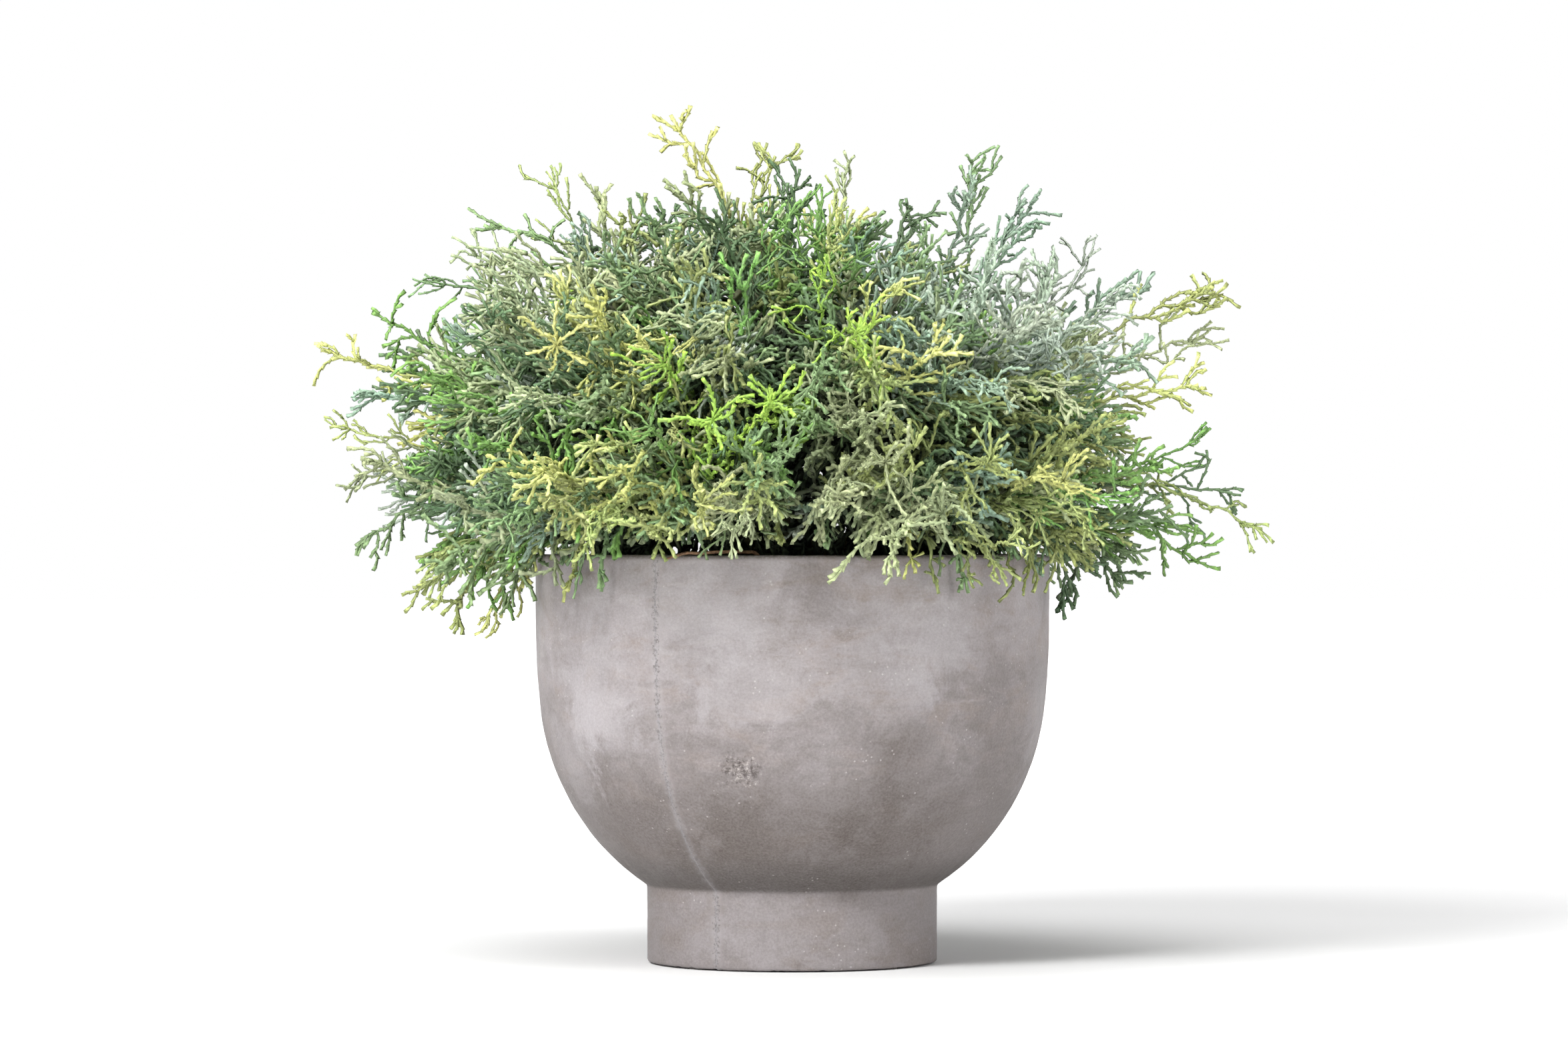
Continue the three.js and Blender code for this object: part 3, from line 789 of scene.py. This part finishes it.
def foliage_mesh(name, threads):
    """One mesh of all the threads of a spray."""
    groups = {}
    for thread in threads:
        groups.setdefault(thread.rings, []).append(thread)
    strip_width, strip_gap = CORNERS + 0.6, 2.6
    tall = math.sqrt(strip_width * sum(len(g) * (n + 1 + strip_gap) for n, g in groups.items()))
    stores = [[] for _ in range(6)]
    first, column, row = 0, 0, 1.0
    for count, group in sorted(groups.items()):
        places = []
        for _ in group:
            if row + count + strip_gap > tall:
                column, row = column + 1, 1.0
            places.append((column * strip_width, row))
            row += count + strip_gap
        parts = [part.reshape(-1, 3) for part in thread_batch(group)]
        parts += batch_faces(count + 1, len(group), first)
        parts += batch_uvs(count + 1, places)
        for store, part in zip(stores, parts):
            store.append(part)
        first += len(group) * CORNERS * (count + 1)
    points, tints, sides, ends, side_uvs, end_uvs = (np.concatenate(store) for store in stores)
    piece = add_mesh(name, points, sides, ends)
    lay_out(piece, np.concatenate([side_uvs, end_uvs]) / ((column + 1) * strip_width, tall + 2))
    # The tint of each point, which carries its painted shade and light.
    colour = piece.data.color_attributes.new("tint", "FLOAT_COLOR", "POINT")
    rgba = np.concatenate([np.clip(tints, 0, 1), np.ones((len(tints), 1))], 1)
    colour.data.foreach_set("color", rgba.astype(np.float32).ravel())
    return piece


# ---- Foliage: sprigs ----

DROOP = 0.12  # how far threads hang, as a share of their length


def dome_reach(elevation):
    """How far the tips are from the dome's centre, by elevation."""
    return np.interp(elevation, *DOME_REACH)


def stem_point(bough, along):
    """A point on a bough's stem."""
    radii, heights = zip((PIVOT_RADIUS, HUB_Z), *STEM_ROUTE)
    u = 1 - along
    weights = (u ** 3, 3 * u * u * along, 3 * u * along ** 2, along ** 3)
    radius, z = np.dot(weights, radii), np.dot(weights, heights)
    a = bough * BOUGH_STEP
    return np.array([radius * math.cos(a), radius * math.sin(a), z])


def spray_of(tip):
    """The spray that a tip belongs to: a CAD node's name, its body, and its root."""
    azimuth, elevation = angles(tip - DOME_CENTRE)
    azimuth %= 360
    if elevation > HIGH_BELOW:
        third = int((azimuth % 360) // 120)
        return f"leader_spray_{third + 1}", "bush", LEADER_ROOT + (0, 0, 9 * third)
    bough = round(azimuth / 60) % BOUGHS
    offset = (azimuth - 60 * bough + 180) % 360 - 180
    side = "left" if offset > 0 else "right"
    part = f"low_{side}" if elevation < LOW_BELOW else f"mid_{side}" if elevation < MID_BELOW else "high"
    return f"bough_{bough + 1}_spray_{part}", f"bough_{bough + 1}", stem_point(bough, SPRAY_ROOTS[part])


USUAL_LEANS = (26, 58)  # degrees between a rib and its side threads
LEANS = {"silver": (8, 26), "blue": (14, 40)}
RIB_TRIES, RIB_LIFT = 9, 9.0  # how often a rib is bent up to clear the planter's wall, and how far each time


def fine_build():
    """The pitch and radius of one sprig's threads, for growth that is seen."""
    return FINE_PITCH, THREAD_RADIUS * rng.uniform(0.8, 1.35)


def bent_thread(start, heading, out, lean, length, tints, build):
    """A thread that leaves at an angle from heading towards out, and bends back or away at random."""
    across = np.cross(heading, out)
    turn = lean - math.radians(rng.normal(12, 26))
    wide = lean + math.radians(14)
    swerve = 0.2 * length * rng.normal()
    control = start + 0.5 * length * (math.cos(wide) * heading + math.sin(wide) * out)
    end = start + length * (math.cos(turn) * heading + math.sin(turn) * out)
    end = end + swerve * across + (0, 0, -DROOP * length * rng.uniform(0, 1))
    return Thread(start, control, end, tints, *build)


def side_threads(parent, tints, spacing, bare, longest, build, leans):
    """Threads that leave both sides of a parent in turn, with their own forks."""
    made = []
    fan = square_to(parent.heading(0.5))
    count = int(parent.length * (1 - bare) / spacing)
    sign = rng.choice((-1, 1))
    for i in range(count):
        t = 1 - (i + rng.uniform(0.5, 1.1)) * spacing / parent.length
        if t < bare:
            break
        sign = -sign
        heading = parent.heading(t)
        out = unit(sign * fan + 0.6 * rng.normal(size=3))
        out = unit(out - out.dot(heading) * heading)
        fullness = math.sin(min(1.0, (1 - t) / 0.45) * math.pi / 2)
        length = longest * (0.5 + 0.5 * fullness) * rng.uniform(0.6, 1.2)
        own = tints * rng.uniform(0.8, 1.16)
        base = own[0] + (own[1] - own[0]) * (0.2 + 0.5 * t)
        lean = math.radians(rng.uniform(*leans))
        thread = bent_thread(parent.at(t), heading, out, lean, length, (base, own[1]), build)
        if fits(thread):
            made += [thread, *forks(thread, own, build)]
    return made


def forks(parent, tints, build):
    """Short threads that fork off a side thread."""
    made = []
    for _ in range(int(parent.length / 15 + rng.uniform(0, 1))):
        t = rng.uniform(0.25, 0.8)
        heading = parent.heading(t)
        length = parent.length * rng.uniform(0.28, 0.6)
        lean = math.radians(rng.uniform(28, 55))
        made.append(bent_thread(parent.at(t), heading, square_to(heading), lean, length,
                                (parent.tint(t), tints[1]), build))
    return [thread for thread in made if fits(thread)]


def whorl(centre, heading, tints, count, longest, build, spread=(16, 62), forked=True):
    """Threads that spread from one point, as at the end of a sprig."""
    made = []
    first = square_to(heading)
    second = np.cross(heading, first)
    base = 0.4 * tints[0] + 0.6 * tints[1]
    for i in range(count):
        turn = 2 * math.pi * (i + rng.uniform(-0.3, 0.3)) / count
        out = math.cos(turn) * first + math.sin(turn) * second
        lean = math.radians(rng.uniform(*spread))
        length = longest * rng.uniform(0.6, 1.15)
        own = (base, tints[1] * rng.uniform(0.92, 1.08))
        thread = bent_thread(centre, heading, out, lean, length, own, build)
        if fits(thread):
            made.append(thread)
            if forked and rng.random() < 0.5:
                made += forks(thread, tints, build)[:1]
    return made


def sprig(root, heading, tip, tints, longest, bare, spacing, ends, build, leans):
    """A rib from its root to its tip, with side threads, and a whorl at its end."""
    span = np.linalg.norm(tip - root)
    control = root + 0.5 * span * heading + 0.09 * span * rng.normal(size=3) + (0, 0, 0.05 * span)
    build = build or fine_build()
    for _ in range(RIB_TRIES):
        # The rib's root is darker still, partly its own base colour and partly painted shade in the bush.
        rib = Thread(root, control, tip, (0.5 * tints[0], tints[1]), build[0], 1.1 * build[1])
        if not pierces_wall(rib):
            break
        control = control + (0, 0, RIB_LIFT)
    if not fits(rib):
        return []
    made = [rib, *side_threads(rib, tints, spacing, bare, longest, build, leans)]
    if ends:
        made += whorl(rib.at(0.93), rib.heading(1), tints, ends, 0.65 * longest, build)
    return made


def shaded(family, light):
    """A family's two tints, scaled by the light painted on its kind, a little lighter or darker at random,
    with a slight drift of hue.
    """
    drift = 1 + rng.normal(0, 0.03, 3) * (1, 0.4, 1)
    # The root tint is darkened, partly the thread's own base colour and partly painted shade in the bush.
    return np.array(FAMILIES[family]) * ((0.66,), (1.0,)) * light * rng.uniform(0.82, 1.12) * drift


# ---- Foliage: where the sprigs are ----

OUTER_SPRIGS, INNER_SPRIGS, CORE_SPRIGS = 960, 300, 150
SKIRT_SPRIGS, RIM_TIPS, TUFTS = 54, 30, 54

# The usual mix of families, as shares of the sprigs.
MIX = {"grey_olive": 22, "mid": 20, "dark": 22, "blue": 11, "olive": 13, "bright": 6, "silver": 2, "lime": 1,
       "yellow": 3}


def random_family():
    """A family by its share of the usual mix."""
    names = list(MIX)
    shares = np.array([MIX[n] for n in names], float)
    return names[rng.choice(len(names), p=shares / shares.sum())]


# Stretches of one family on the front: x, z and radius as seen from the front, and the family.
PATCHES = (
    (85, 290, 42, "silver"), (60, 320, 26, "silver"), (120, 262, 28, "silver"), (60, 262, 22, "blue"),
    (-138, 258, 18, "bright"), (-122, 240, 26, "dark"), (-95, 268, 20, "yellow"), (-75, 250, 16, "yellow"),
    (-155, 205, 34, "dark"), (-165, 240, 26, "dark"), (-100, 246, 24, "mid"),
    (-110, 300, 28, "grey_olive"), (-48, 300, 24, "grey_olive"), (-25, 330, 30, "grey_olive"),
    (10, 300, 26, "bright"), (-40, 232, 24, "lime"), (-8, 236, 16, "lime"),
    (0, 262, 26, "dark"), (35, 232, 26, "grey_olive"), (70, 222, 34, "olive"), (40, 195, 30, "grey_olive"),
    (105, 230, 26, "olive"), (-60, 200, 30, "mid"), (-110, 195, 26, "olive"), (-20, 200, 24, "grey_olive"),
    (150, 215, 30, "bright"), (165, 190, 26, "mid"), (140, 262, 30, "blue"), (165, 262, 26, "olive"),
    (-175, 235, 24, "grey_olive"), (110, 195, 26, "olive"), (-5, 340, 20, "olive"), (-70, 320, 24, "blue"),
)


PATCH_SHARE, SILVER_PATCH_SHARE = 0.42, 0.25  # how many sprigs in a patch take its family
FRONT_DEPTH = 40.0  # patches reach this far behind the object's axis
EYE_HEIGHT = 183.0  # of the camera


def family_near(tip):
    """The family that suits a tip: often its patch's on the front, and a soft random one elsewhere."""
    if tip[1] < FRONT_DEPTH:
        far = CAMERA_PLACE.y / MM
        shrink = far / (far - tip[1])
        x, z = tip[0] * shrink, EYE_HEIGHT + (tip[2] - EYE_HEIGHT) * shrink
        for patch_x, patch_z, radius, family in PATCHES:
            if math.hypot(x - patch_x, z - patch_z) < radius * rng.uniform(0.7, 1.15):
                share = SILVER_PATCH_SHARE if family == "silver" else PATCH_SHARE
                return family if rng.random() < share else random_family()
        return random_family()
    names = list(FAMILIES)
    field = abs(noise.noise(Vector(tip) / 70 + Vector((31, 7, 3))))
    if field > 0.12 and rng.random() < 0.3:
        return names[int(field * 40) % len(names)]
    return random_family()


def lattice(count, low):
    """Directions spread evenly over the dome, down to this sine of elevation."""
    golden = math.pi * (3 - math.sqrt(5))
    for i in range(count):
        rise = low + (1 - low) * (i + 0.5) / count
        flat = math.sqrt(max(0.0, 1 - rise * rise))
        turn = golden * i + rng.normal(0, 0.06)
        yield np.array([flat * math.cos(turn), flat * math.sin(turn), rise])


RIGHT_DIPS = ((18, 9, 0.11), (52, 12, 0.09))  # in the dome's right side: elevation, width and depth


def reach_towards(way, low, high):
    """How far from the dome's centre a tip is that way, as a random share of the dome's reach."""
    azimuth, elevation = angles(way)
    rightward = math.cos(math.radians(azimuth))
    reach = dome_reach(elevation) * (0.94 - 0.062 * rightward * math.cos(math.radians(elevation)))
    for dip_at, width, depth in RIGHT_DIPS:
        reach *= 1 - depth * max(0.0, rightward) * math.exp(-((elevation - dip_at) / width) ** 2)
    return reach * rng.uniform(low, high)


def in_front(way, within):
    """Whether a direction is within this many degrees of the front, seen from above."""
    return abs((angles(way)[0] + 90 + 180) % 360 - 180) < within


def thinned(way):
    """The share of sprigs left out that way, as the bush is airier at its top and low at its sides."""
    low = 0.2 if in_front(way, 50) else 0.72
    return 0.45 * min(1.0, max(0.0, (way[2] - 0.5) / 0.3)) + low * min(1.0, max(0.0, (0.28 - way[2]) / 0.2))


def outer_tips():
    """The tips that make the dome's surface, every sixth one longer."""
    for i, way in enumerate(lattice(OUTER_SPRIGS, -0.06)):
        way = unit(way + rng.normal(0, 0.045, 3))
        if (in_front(way, 48) and way[2] < 0.1) or rng.random() < thinned(way):
            continue
        shares = (0.88, 1.0) if i % 6 == 0 else (0.7, 0.88)
        tip = DOME_CENTRE + reach_towards(way, *shares) * way
        yield tip, family_near(tip)


def inner_tips():
    """Shaded growth under the surface."""
    for way in lattice(INNER_SPRIGS, 0.0):
        way = unit(way + rng.normal(0, 0.06, 3))
        if rng.random() < thinned(way):
            continue
        tip = DOME_CENTRE + reach_towards(way, 0.54, 0.76) * way
        yield tip, ("dark", "mid", "grey_olive")[rng.choice(3, p=(0.5, 0.3, 0.2))]


def core_tips():
    """Dark growth deep in the bush."""
    for way in lattice(CORE_SPRIGS, 0.0):
        yield DOME_CENTRE + reach_towards(way, 0.34, 0.56) * way, "dark"


def skirt_tips():
    """Short sprigs round the rim, which hang less low at the front."""
    for i in range(SKIRT_SPRIGS):
        azimuth = 360 * i / SKIRT_SPRIGS + rng.uniform(-2, 2)
        heights = (180, 192) if in_front(direction(azimuth, 0), 48) else (160, 180)
        z = rng.uniform(*heights)
        tip = around(azimuth, rng.uniform(112, 132), z)
        yield tip, family_near(tip)


def rim_tips():
    """Short sprigs that lie on the rim at the front."""
    for azimuth in np.linspace(-142, -38, RIM_TIPS) + rng.uniform(-2, 2, RIM_TIPS):
        tip = around(azimuth, rng.uniform(101, 112), rng.uniform(176, 185))
        yield tip, family_near(tip)


def tuft_tips():
    """Dark growth in the planter's mouth, between the stems and the rim."""
    for i in range(TUFTS):
        azimuth = 360 * i / TUFTS + rng.uniform(-3, 3)
        tip = around(azimuth, rng.uniform(66, 92), rng.uniform(170, 181))
        yield tip, "dark"


# Sprigs that stand out of the outline: x and height as seen from the front, y, and the family.
EDGE_SPRIGS = (
    (-52, 361, -20, "yellow"), (-7, 345, 10, "olive"), (79, 340, 0, "mid"), (22, 338, 20, "grey_olive"),
    (129, 305, 10, "silver"), (98, 313, 20, "blue"), (179, 284, 0, "olive"), (146, 290, 20, "blue"),
    (174, 247, -20, "yellow"), (201, 184, 0, "olive"), (192, 200, 10, "dark"), (173, 171, -10, "bright"),
    (178, 228, 20, "bright"), (140, 163, -20, "dark"), (-202, 262, 0, "yellow"), (-198, 229, 10, "olive"),
    (-184, 178, 0, "mid"), (-175, 276, 0, "bright"), (-157, 292, 10, "mid"), (-139, 306, -10, "grey_olive"),
    (-130, 315, 10, "mid"), (-104, 334, 0, "olive"), (-83, 330, 20, "grey_olive"), (-158, 157, 0, "olive"),
    (-133, 141, -10, "yellow"), (-150, 148, 20, "olive"), (176, 268, 10, "grey_olive"),
    (-120, 160, -40, "mid"), (120, 158, -30, "dark"), (160, 188, -30, "bright"),
    (-190, 205, -20, "grey_olive"),
)
# Stars of threads on the front, by x and height as seen from there.
STARS = (
    (-34, 232, "lime"), (-61, 229, "bright"), (-9, 240, "lime"), (28, 269, "lime"), (-55, 256, "lime"),
    (116, 206, "yellow"), (-39, 196, "yellow"), (-101, 264, "yellow"), (94, 271, "silver"),
    (-15, 205, "olive"), (64, 192, "grey_olive"), (40, 214, "grey_olive"),
)
# Sprigs that stand out on the front, by their tip's x and height as seen from there.
FRONT_SPRIGS = (
    (-101, 290, "yellow"), (-84, 280, "yellow"), (-66, 268, "yellow"), (-131, 216, "yellow"),
    (-110, 211, "yellow"), (-88, 222, "olive"), (-74, 212, "yellow"), (-104, 194, "olive"),
    (-14, 212, "mid"), (46, 290, "yellow"), (62, 262, "yellow"), (40, 252, "olive"), (66, 280, "silver"),
    (84, 300, "silver"), (100, 322, "blue"), (112, 300, "silver"), (74, 330, "blue"), (110, 276, "silver"),
    (128, 262, "silver"), (60, 312, "mid"), (92, 246, "blue"), (140, 286, "silver"), (150, 262, "blue"),
    (118, 242, "grey_olive"), (-40, 300, "olive"), (-20, 292, "bright"), (0, 318, "bright"),
    (12, 296, "lime"), (20, 318, "olive"), (-78, 304, "mid"), (-60, 318, "mid"), (-150, 240, "bright"),
    (-138, 226, "bright"), (-160, 256, "bright"), (158, 212, "bright"), (146, 200, "bright"),
    (-148, 200, "grey_olive"),
    (64, 190, "grey_olive"), (24, 196, "grey_olive"), (46, 178, "grey_olive"), (96, 182, "olive"),
    (124, 190, "olive"), (-62, 184, "olive"), (-84, 186, "olive"), (-130, 186, "mid"),
    (30, 236, "grey_olive"), (56, 226, "olive"), (-6, 222, "mid"), (88, 216, "olive"), (132, 230, "olive"),
    (-26, 184, "grey_olive"), (-118, 244, "grey_olive"), (-128, 274, "grey_olive"), (-46, 276, "grey_olive"),
    (10, 250, "mid"),
)
# Sprigs that hang over the rim in front, by x and height as seen from there.
RIM_SPRIGS = (
    (-98, 154, "yellow"), (-83, 160, "mid"), (-116, 160, "yellow"), (-94, 156, "mid"), (15, 177, "mid"),
    (31, 174, "grey_olive"), (62, 157, "olive"), (75, 158, "mid"), (107, 165, "olive"), (52, 166, "yellow"),
    (-60, 173, "olive"), (90, 166, "grey_olive"),
)
STAR_SHARE = 0.97  # of the dome's reach, where stars are
RIM_SPRIG_RADIUS = 121.0


def from_front(x, z, y):
    """The point at depth y that the camera sees at x and z of the plane through the object's axis."""
    far, eye_x, eye_z = CAMERA_PLACE.y / MM, CAMERA_PLACE.x / MM, CAMERA_PLACE.z / MM
    nearer = (far - y) / far
    return np.array([eye_x + (x - eye_x) * nearer, y, eye_z + (z - eye_z) * nearer])


def on_front(x, z, share):
    """The point on the front of the dome, at this share of its reach, that the camera sees at x and z."""
    y = 0.0
    for _ in range(6):
        point = from_front(x, z, y) - DOME_CENTRE
        reach = share * dome_reach(angles(point)[1])
        y = -math.sqrt(max(0.0, reach ** 2 - point[0] ** 2 - point[2] ** 2))
    return from_front(x, z, y)


def hero_tips():
    """The tips that are listed one by one, with the kind of each sprig."""
    for x, z, y, family in EDGE_SPRIGS:
        yield from_front(x, z, y), family, "edge"
    for x, z, family in STARS:
        yield on_front(x, z, STAR_SHARE), family, "star"
    for x, z, family in FRONT_SPRIGS:
        yield on_front(x, z, rng.uniform(0.95, 1.02)), family, "front"
    for x, z, family in RIM_SPRIGS:
        y = -math.sqrt(max(0.0, RIM_SPRIG_RADIUS ** 2 - x * x))
        yield from_front(x, z, y), family, "hanging"


# ---- Foliage: growing it ----


def grow_bush():
    """One piece of foliage for each spray, out of every sprig whose tip belongs to it."""
    plans = []
    for kind, tips in (("outer", outer_tips()), ("inner", inner_tips()), ("core", core_tips()),
                       ("skirt", skirt_tips()), ("skirt", rim_tips()), ("tuft", tuft_tips())):
        plans += [(tip, family, kind) for tip, family in tips]
    plans += hero_tips()
    sprays = {}
    for plan in plans:
        node, body, root = spray_of(plan[0])
        sprays.setdefault(node, (body, root, []))[2].append(plan)
    paint = foliage_paint()
    for node, (body, root, tips) in sorted(sprays.items()):
        piece = foliage_mesh(node.replace("spray", "foliage"), grow_spray(root, tips))
        piece.data.materials.append(paint)
        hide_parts(node)
        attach(piece, body)


CARRIED = 4  # sprigs on one twig


def grow_spray(root, tips):
    """The threads of one spray: twigs from its root, with sprigs on them."""
    threads = []
    tips = sorted(tips, key=lambda plan: angles(plan[0] - DOME_CENTRE)[0])
    for i in range(0, len(tips), CARRIED):
        group = tips[i:i + CARRIED]
        middle = np.mean([tip for tip, _, _ in group], 0)
        end = root + 0.5 * (middle - root)
        twig = Thread(root, 0.5 * (root + end) + (0, 0, 6), end, (BARK, BARK * 1.3), *TWIG_BUILD, 1.0)
        threads.append(twig)
        for tip, family, kind in group:
            start_at = rng.uniform(0.45, 0.97)
            start = twig.at(start_at)
            heading = unit(0.6 * twig.heading(start_at) + 0.4 * unit(tip - start))
            threads += grow_kind(kind, start, heading, tip, family)
    return threads


# How each kind of sprig grows: its light, a factor on its tints that paints shade on growth deep in
# the bush and light on sprigs out in the open; its longest side thread, the share of its rib that is
# bare, the spacing of its side threads, the threads at its end, and its build where that isn't a fine one.
KINDS = {
    "outer": (1.0, None, 0.3, 7, 3, None), "edge": (1.03, 24, 0.3, 9, 2, None),
    "front": (1.05, 26, 0.35, 8, 2, None), "star": (1.0, 16, 0.45, 8, 0, None),
    "skirt": (1.1, 10, 0.35, 6.5, 2, None), "hanging": (1.35, 10, 0.35, 6.5, 2, None),
    "inner": (0.28, 28, 0.1, 7.5, 3, INNER_BUILD), "core": (0.18, 30, 0.1, 7.5, 3, INNER_BUILD),
    "tuft": (0.3, 22, 0.1, 7.5, 3, INNER_BUILD),
}
OUTER_LONGEST = {"silver": (26, 40)}  # of outer sprigs by family
USUAL_LONGEST = (17, 35)


def grow_kind(kind, start, heading, tip, family):
    """The threads of one sprig, by where in the bush it grows."""
    light, longest, bare, spacing, ends, build = KINDS[kind]
    leans = LEANS.get(family, USUAL_LEANS) if kind in ("outer", "edge", "front") else USUAL_LEANS
    if kind == "outer":
        longest = rng.uniform(*OUTER_LONGEST.get(family, USUAL_LONGEST))
    elif kind == "edge":
        heading = unit(heading + (0, 0, 0.25))
        if family in LEANS:
            longest, spacing = 30, 11
    elif kind in ("skirt", "hanging"):
        heading = unit(unit(tip - start) + (0, 0, 0.9))
    elif build:
        heading = unit(tip - start)
    # The kind's painted light and shade go into the sprig's tints.
    tints = shaded(family, light)
    made = sprig(start, heading, tip, tints, longest, bare, spacing, ends, build, leans)
    if kind == "star":
        out = unit(unit(tip - DOME_CENTRE) + 0.3 * rng.normal(size=3))
        made += whorl(tip, out, tints, rng.integers(6, 9), 20, fine_build(), (30, 90), forked=False)
    return made


def foliage_paint():
    """Soft moulded plastic in the threads' tints, which carry painted shade and light,
    with blotches, grit and dust.
    """
    paint = Paint("foliage", 0.6, 0.35)
    blotch = paint.noise(120, detail=4, rough=0.6)
    grit = paint.noise(1100, detail=3, rough=0.7)
    paint.coat(paint.node("Attribute", attribute_name="tint").outputs["Color"])
    paint.over("A2B48C", paint.spread(blotch, 0.35, 0.7, 0.0, 0.2))
    paint.over("26361F", paint.spread(grit, 0.3, 0.7, 0.25, 0.0))
    paint.over("D5DDC8", paint.spread(paint.noise(520, detail=4, rough=0.8), 0.6, 0.75), 0.32)
    paint.rough(blotch, 0.5, 0.75)
    paint.bump(grit, 0.4, 0.0003)
    return paint.material


# ---- Soil, root twig and the pieces that stay as the CAD has them ----

SOIL_TOP = 160.0
FOAM_TOP = 148.0
POST_HOLE = 9.3
SOIL_RINGS = 66  # of its crumbly top
SOIL_COLUMNS = 190


def soil():
    """Crumbly soil cover between the hub's post and the liner."""
    low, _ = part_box("soil_cover")
    edge = -low.x / MM - 0.2
    radii = np.concatenate([np.linspace(POST_HOLE, edge, SOIL_RINGS), [edge - 0.8],
                            np.linspace(edge - 1.6, POST_HOLE, 8)])
    vertices = np.zeros((len(radii), SOIL_COLUMNS, 3))
    for i, radius in enumerate(radii):
        share = (radius - POST_HOLE) / (edge - POST_HOLE)
        for j in range(SOIL_COLUMNS):
            a = 2 * math.pi * j / SOIL_COLUMNS
            x, y = radius * math.cos(a), radius * math.sin(a)
            z = FOAM_TOP + (4 if i == SOIL_RINGS else 0.3)
            if i < SOIL_RINGS:
                crumbs = noise.voronoi(Vector((x / 4.5, y / 4.5, 0)))[0]
                z = SOIL_TOP - 0.6 - 4.5 * share ** 2
                z += 1.6 * (0.5 - crumbs[0]) + 0.8 * noise.noise(Vector((x / 9, y / 9, 4)))
            vertices[i, j] = x, y, min(z, SOIL_TOP)
    faces = ring_faces(len(radii), SOIL_COLUMNS)[2][:, [0, 3, 2, 1]]
    piece = add_mesh("soil_crumbs", vertices.reshape(-1, 3), faces)
    paint = Paint("soil", 0.95, 0.2)
    stops = (0.3, "2A1F18"), (0.55, "4A382B"), (0.8, "7A6248")
    paint.grained(paint.noise(420, detail=4, rough=0.7), stops, (0.6, 0.0015), (0.85, 1.0))
    piece.data.materials.append(paint.material)
    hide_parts("soil_cover")
    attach(piece, "bush")


def repaint(paint, *names):
    """Gives CAD nodes a better material."""
    for name in names:
        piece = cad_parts[name]
        piece.data.materials.clear()
        piece.data.materials.append(paint.material)


def paint_kept_nodes():
    """Materials for the pieces that stay as the CAD has them."""
    stem = Paint("stem_bark", 0.8, 0.3)
    grain = stem.noise(160, detail=4, rough=0.7, place=stem.stretched(0.25))
    stem.grained(grain, ((0.3, "3A3A25"), (0.6, "5E5C3E"), (0.8, "7D7654")), (0.7, 0.0008), (0.7, 0.9))
    repaint(stem, "stem_hub", *[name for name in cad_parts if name.endswith("_stem")])

    liner = Paint("liner_plastic", 0.5, 0.4)
    liner.grained(liner.noise(700, detail=2), ((0.3, "222120"), (0.7, "33312F")), (0.3, 0.0002), (0.42, 0.6))
    repaint(liner, "liner_pot")

    rubber = Paint("rubber", 0.7, 0.3)
    wear = rubber.noise(260, detail=4)
    rubber.grained(wear, ((0.3, "222223"), (0.75, "3B3A3A")), (0.2, 0.0003), (0.6, 0.82))
    repaint(rubber, "drain_bung")

    felt = Paint("felt", 1.0, 0.1)
    fibres = felt.noise(1600, detail=4, rough=0.8, warp=2.0)
    felt.grained(fibres, ((0.3, "3B3836"), (0.7, "66615C")), (0.8, 0.0005))
    felt.shader.inputs["Sheen Weight"].default_value = 0.3
    repaint(felt, *[f"foot_pad_{i}" for i in range(1, 5)])

    ballast = Paint("ballast_cement", 0.95, 0.2)
    sand = ballast.noise(500, detail=5, rough=0.75)
    ballast.grained(sand, ((0.3, "75716B"), (0.7, "9C9891")), (0.6, 0.0008))
    repaint(ballast, "ballast_disc")

    foam = Paint("foam", 1.0, 0.1)
    foam.grained(foam.cells(650), ((0.05, "34482A"), (0.5, "5C7B46")), (0.8, 0.0008))
    repaint(foam, "foam_block")


# The dry root's bends: azimuth, radius and height.
ROOT_KNOTS = ((-88, 66, 162.5), (-93, 84, 166), (-99, 98, 175.5), (-107, 106, 176), (-114, 111.5, 175.2),
              (-118, 112.6, 172.6))
ROOT_RADIUS = 1.0


def root_twig():
    """The dry root over the rim, thinner and more crooked than its CAD rod."""
    knots = [around(*knot) for knot in ROOT_KNOTS]
    curve = bpy.data.curves.new("dry_root", "CURVE")
    curve.dimensions = "3D"
    spline = curve.splines.new("NURBS")
    path = []
    for a, b in zip(knots, knots[1:]):
        for share in np.linspace(0, 1, 6)[:-1]:
            path.append(a + share * (b - a) + rng.normal(0, 0.3, 3))
    path.append(knots[-1])
    spline.points.add(len(path) - 1)
    for i, (point, place) in enumerate(zip(spline.points, path)):
        point.co = (*(place * MM), 1)
        point.radius = 1.0 - 0.55 * i / len(path)
    spline.use_endpoint_u = True
    spline.order_u = 4
    spline.resolution_u = 4
    curve.bevel_depth = ROOT_RADIUS * MM
    curve.bevel_resolution = 3
    curve.use_fill_caps = True
    shape = new_object("dry_root_curve", curve)
    mesh = applied(shape)
    bpy.data.objects.remove(shape)
    piece = new_object("dry_root", mesh)
    paint = Paint("dry_wood", 0.9, 0.2)
    paint.grained(paint.noise(500, detail=4, rough=0.7), ((0.3, "3F2F24"), (0.7, "A58265")), (0.5, 0.0005))
    mesh.materials.clear()
    mesh.materials.append(paint.material)
    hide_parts("root_twig")
    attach(piece, "bush")


place_camera()
light_studio()
lay_floor()
planter()
soil()
root_twig()
paint_kept_nodes()
grow_bush()
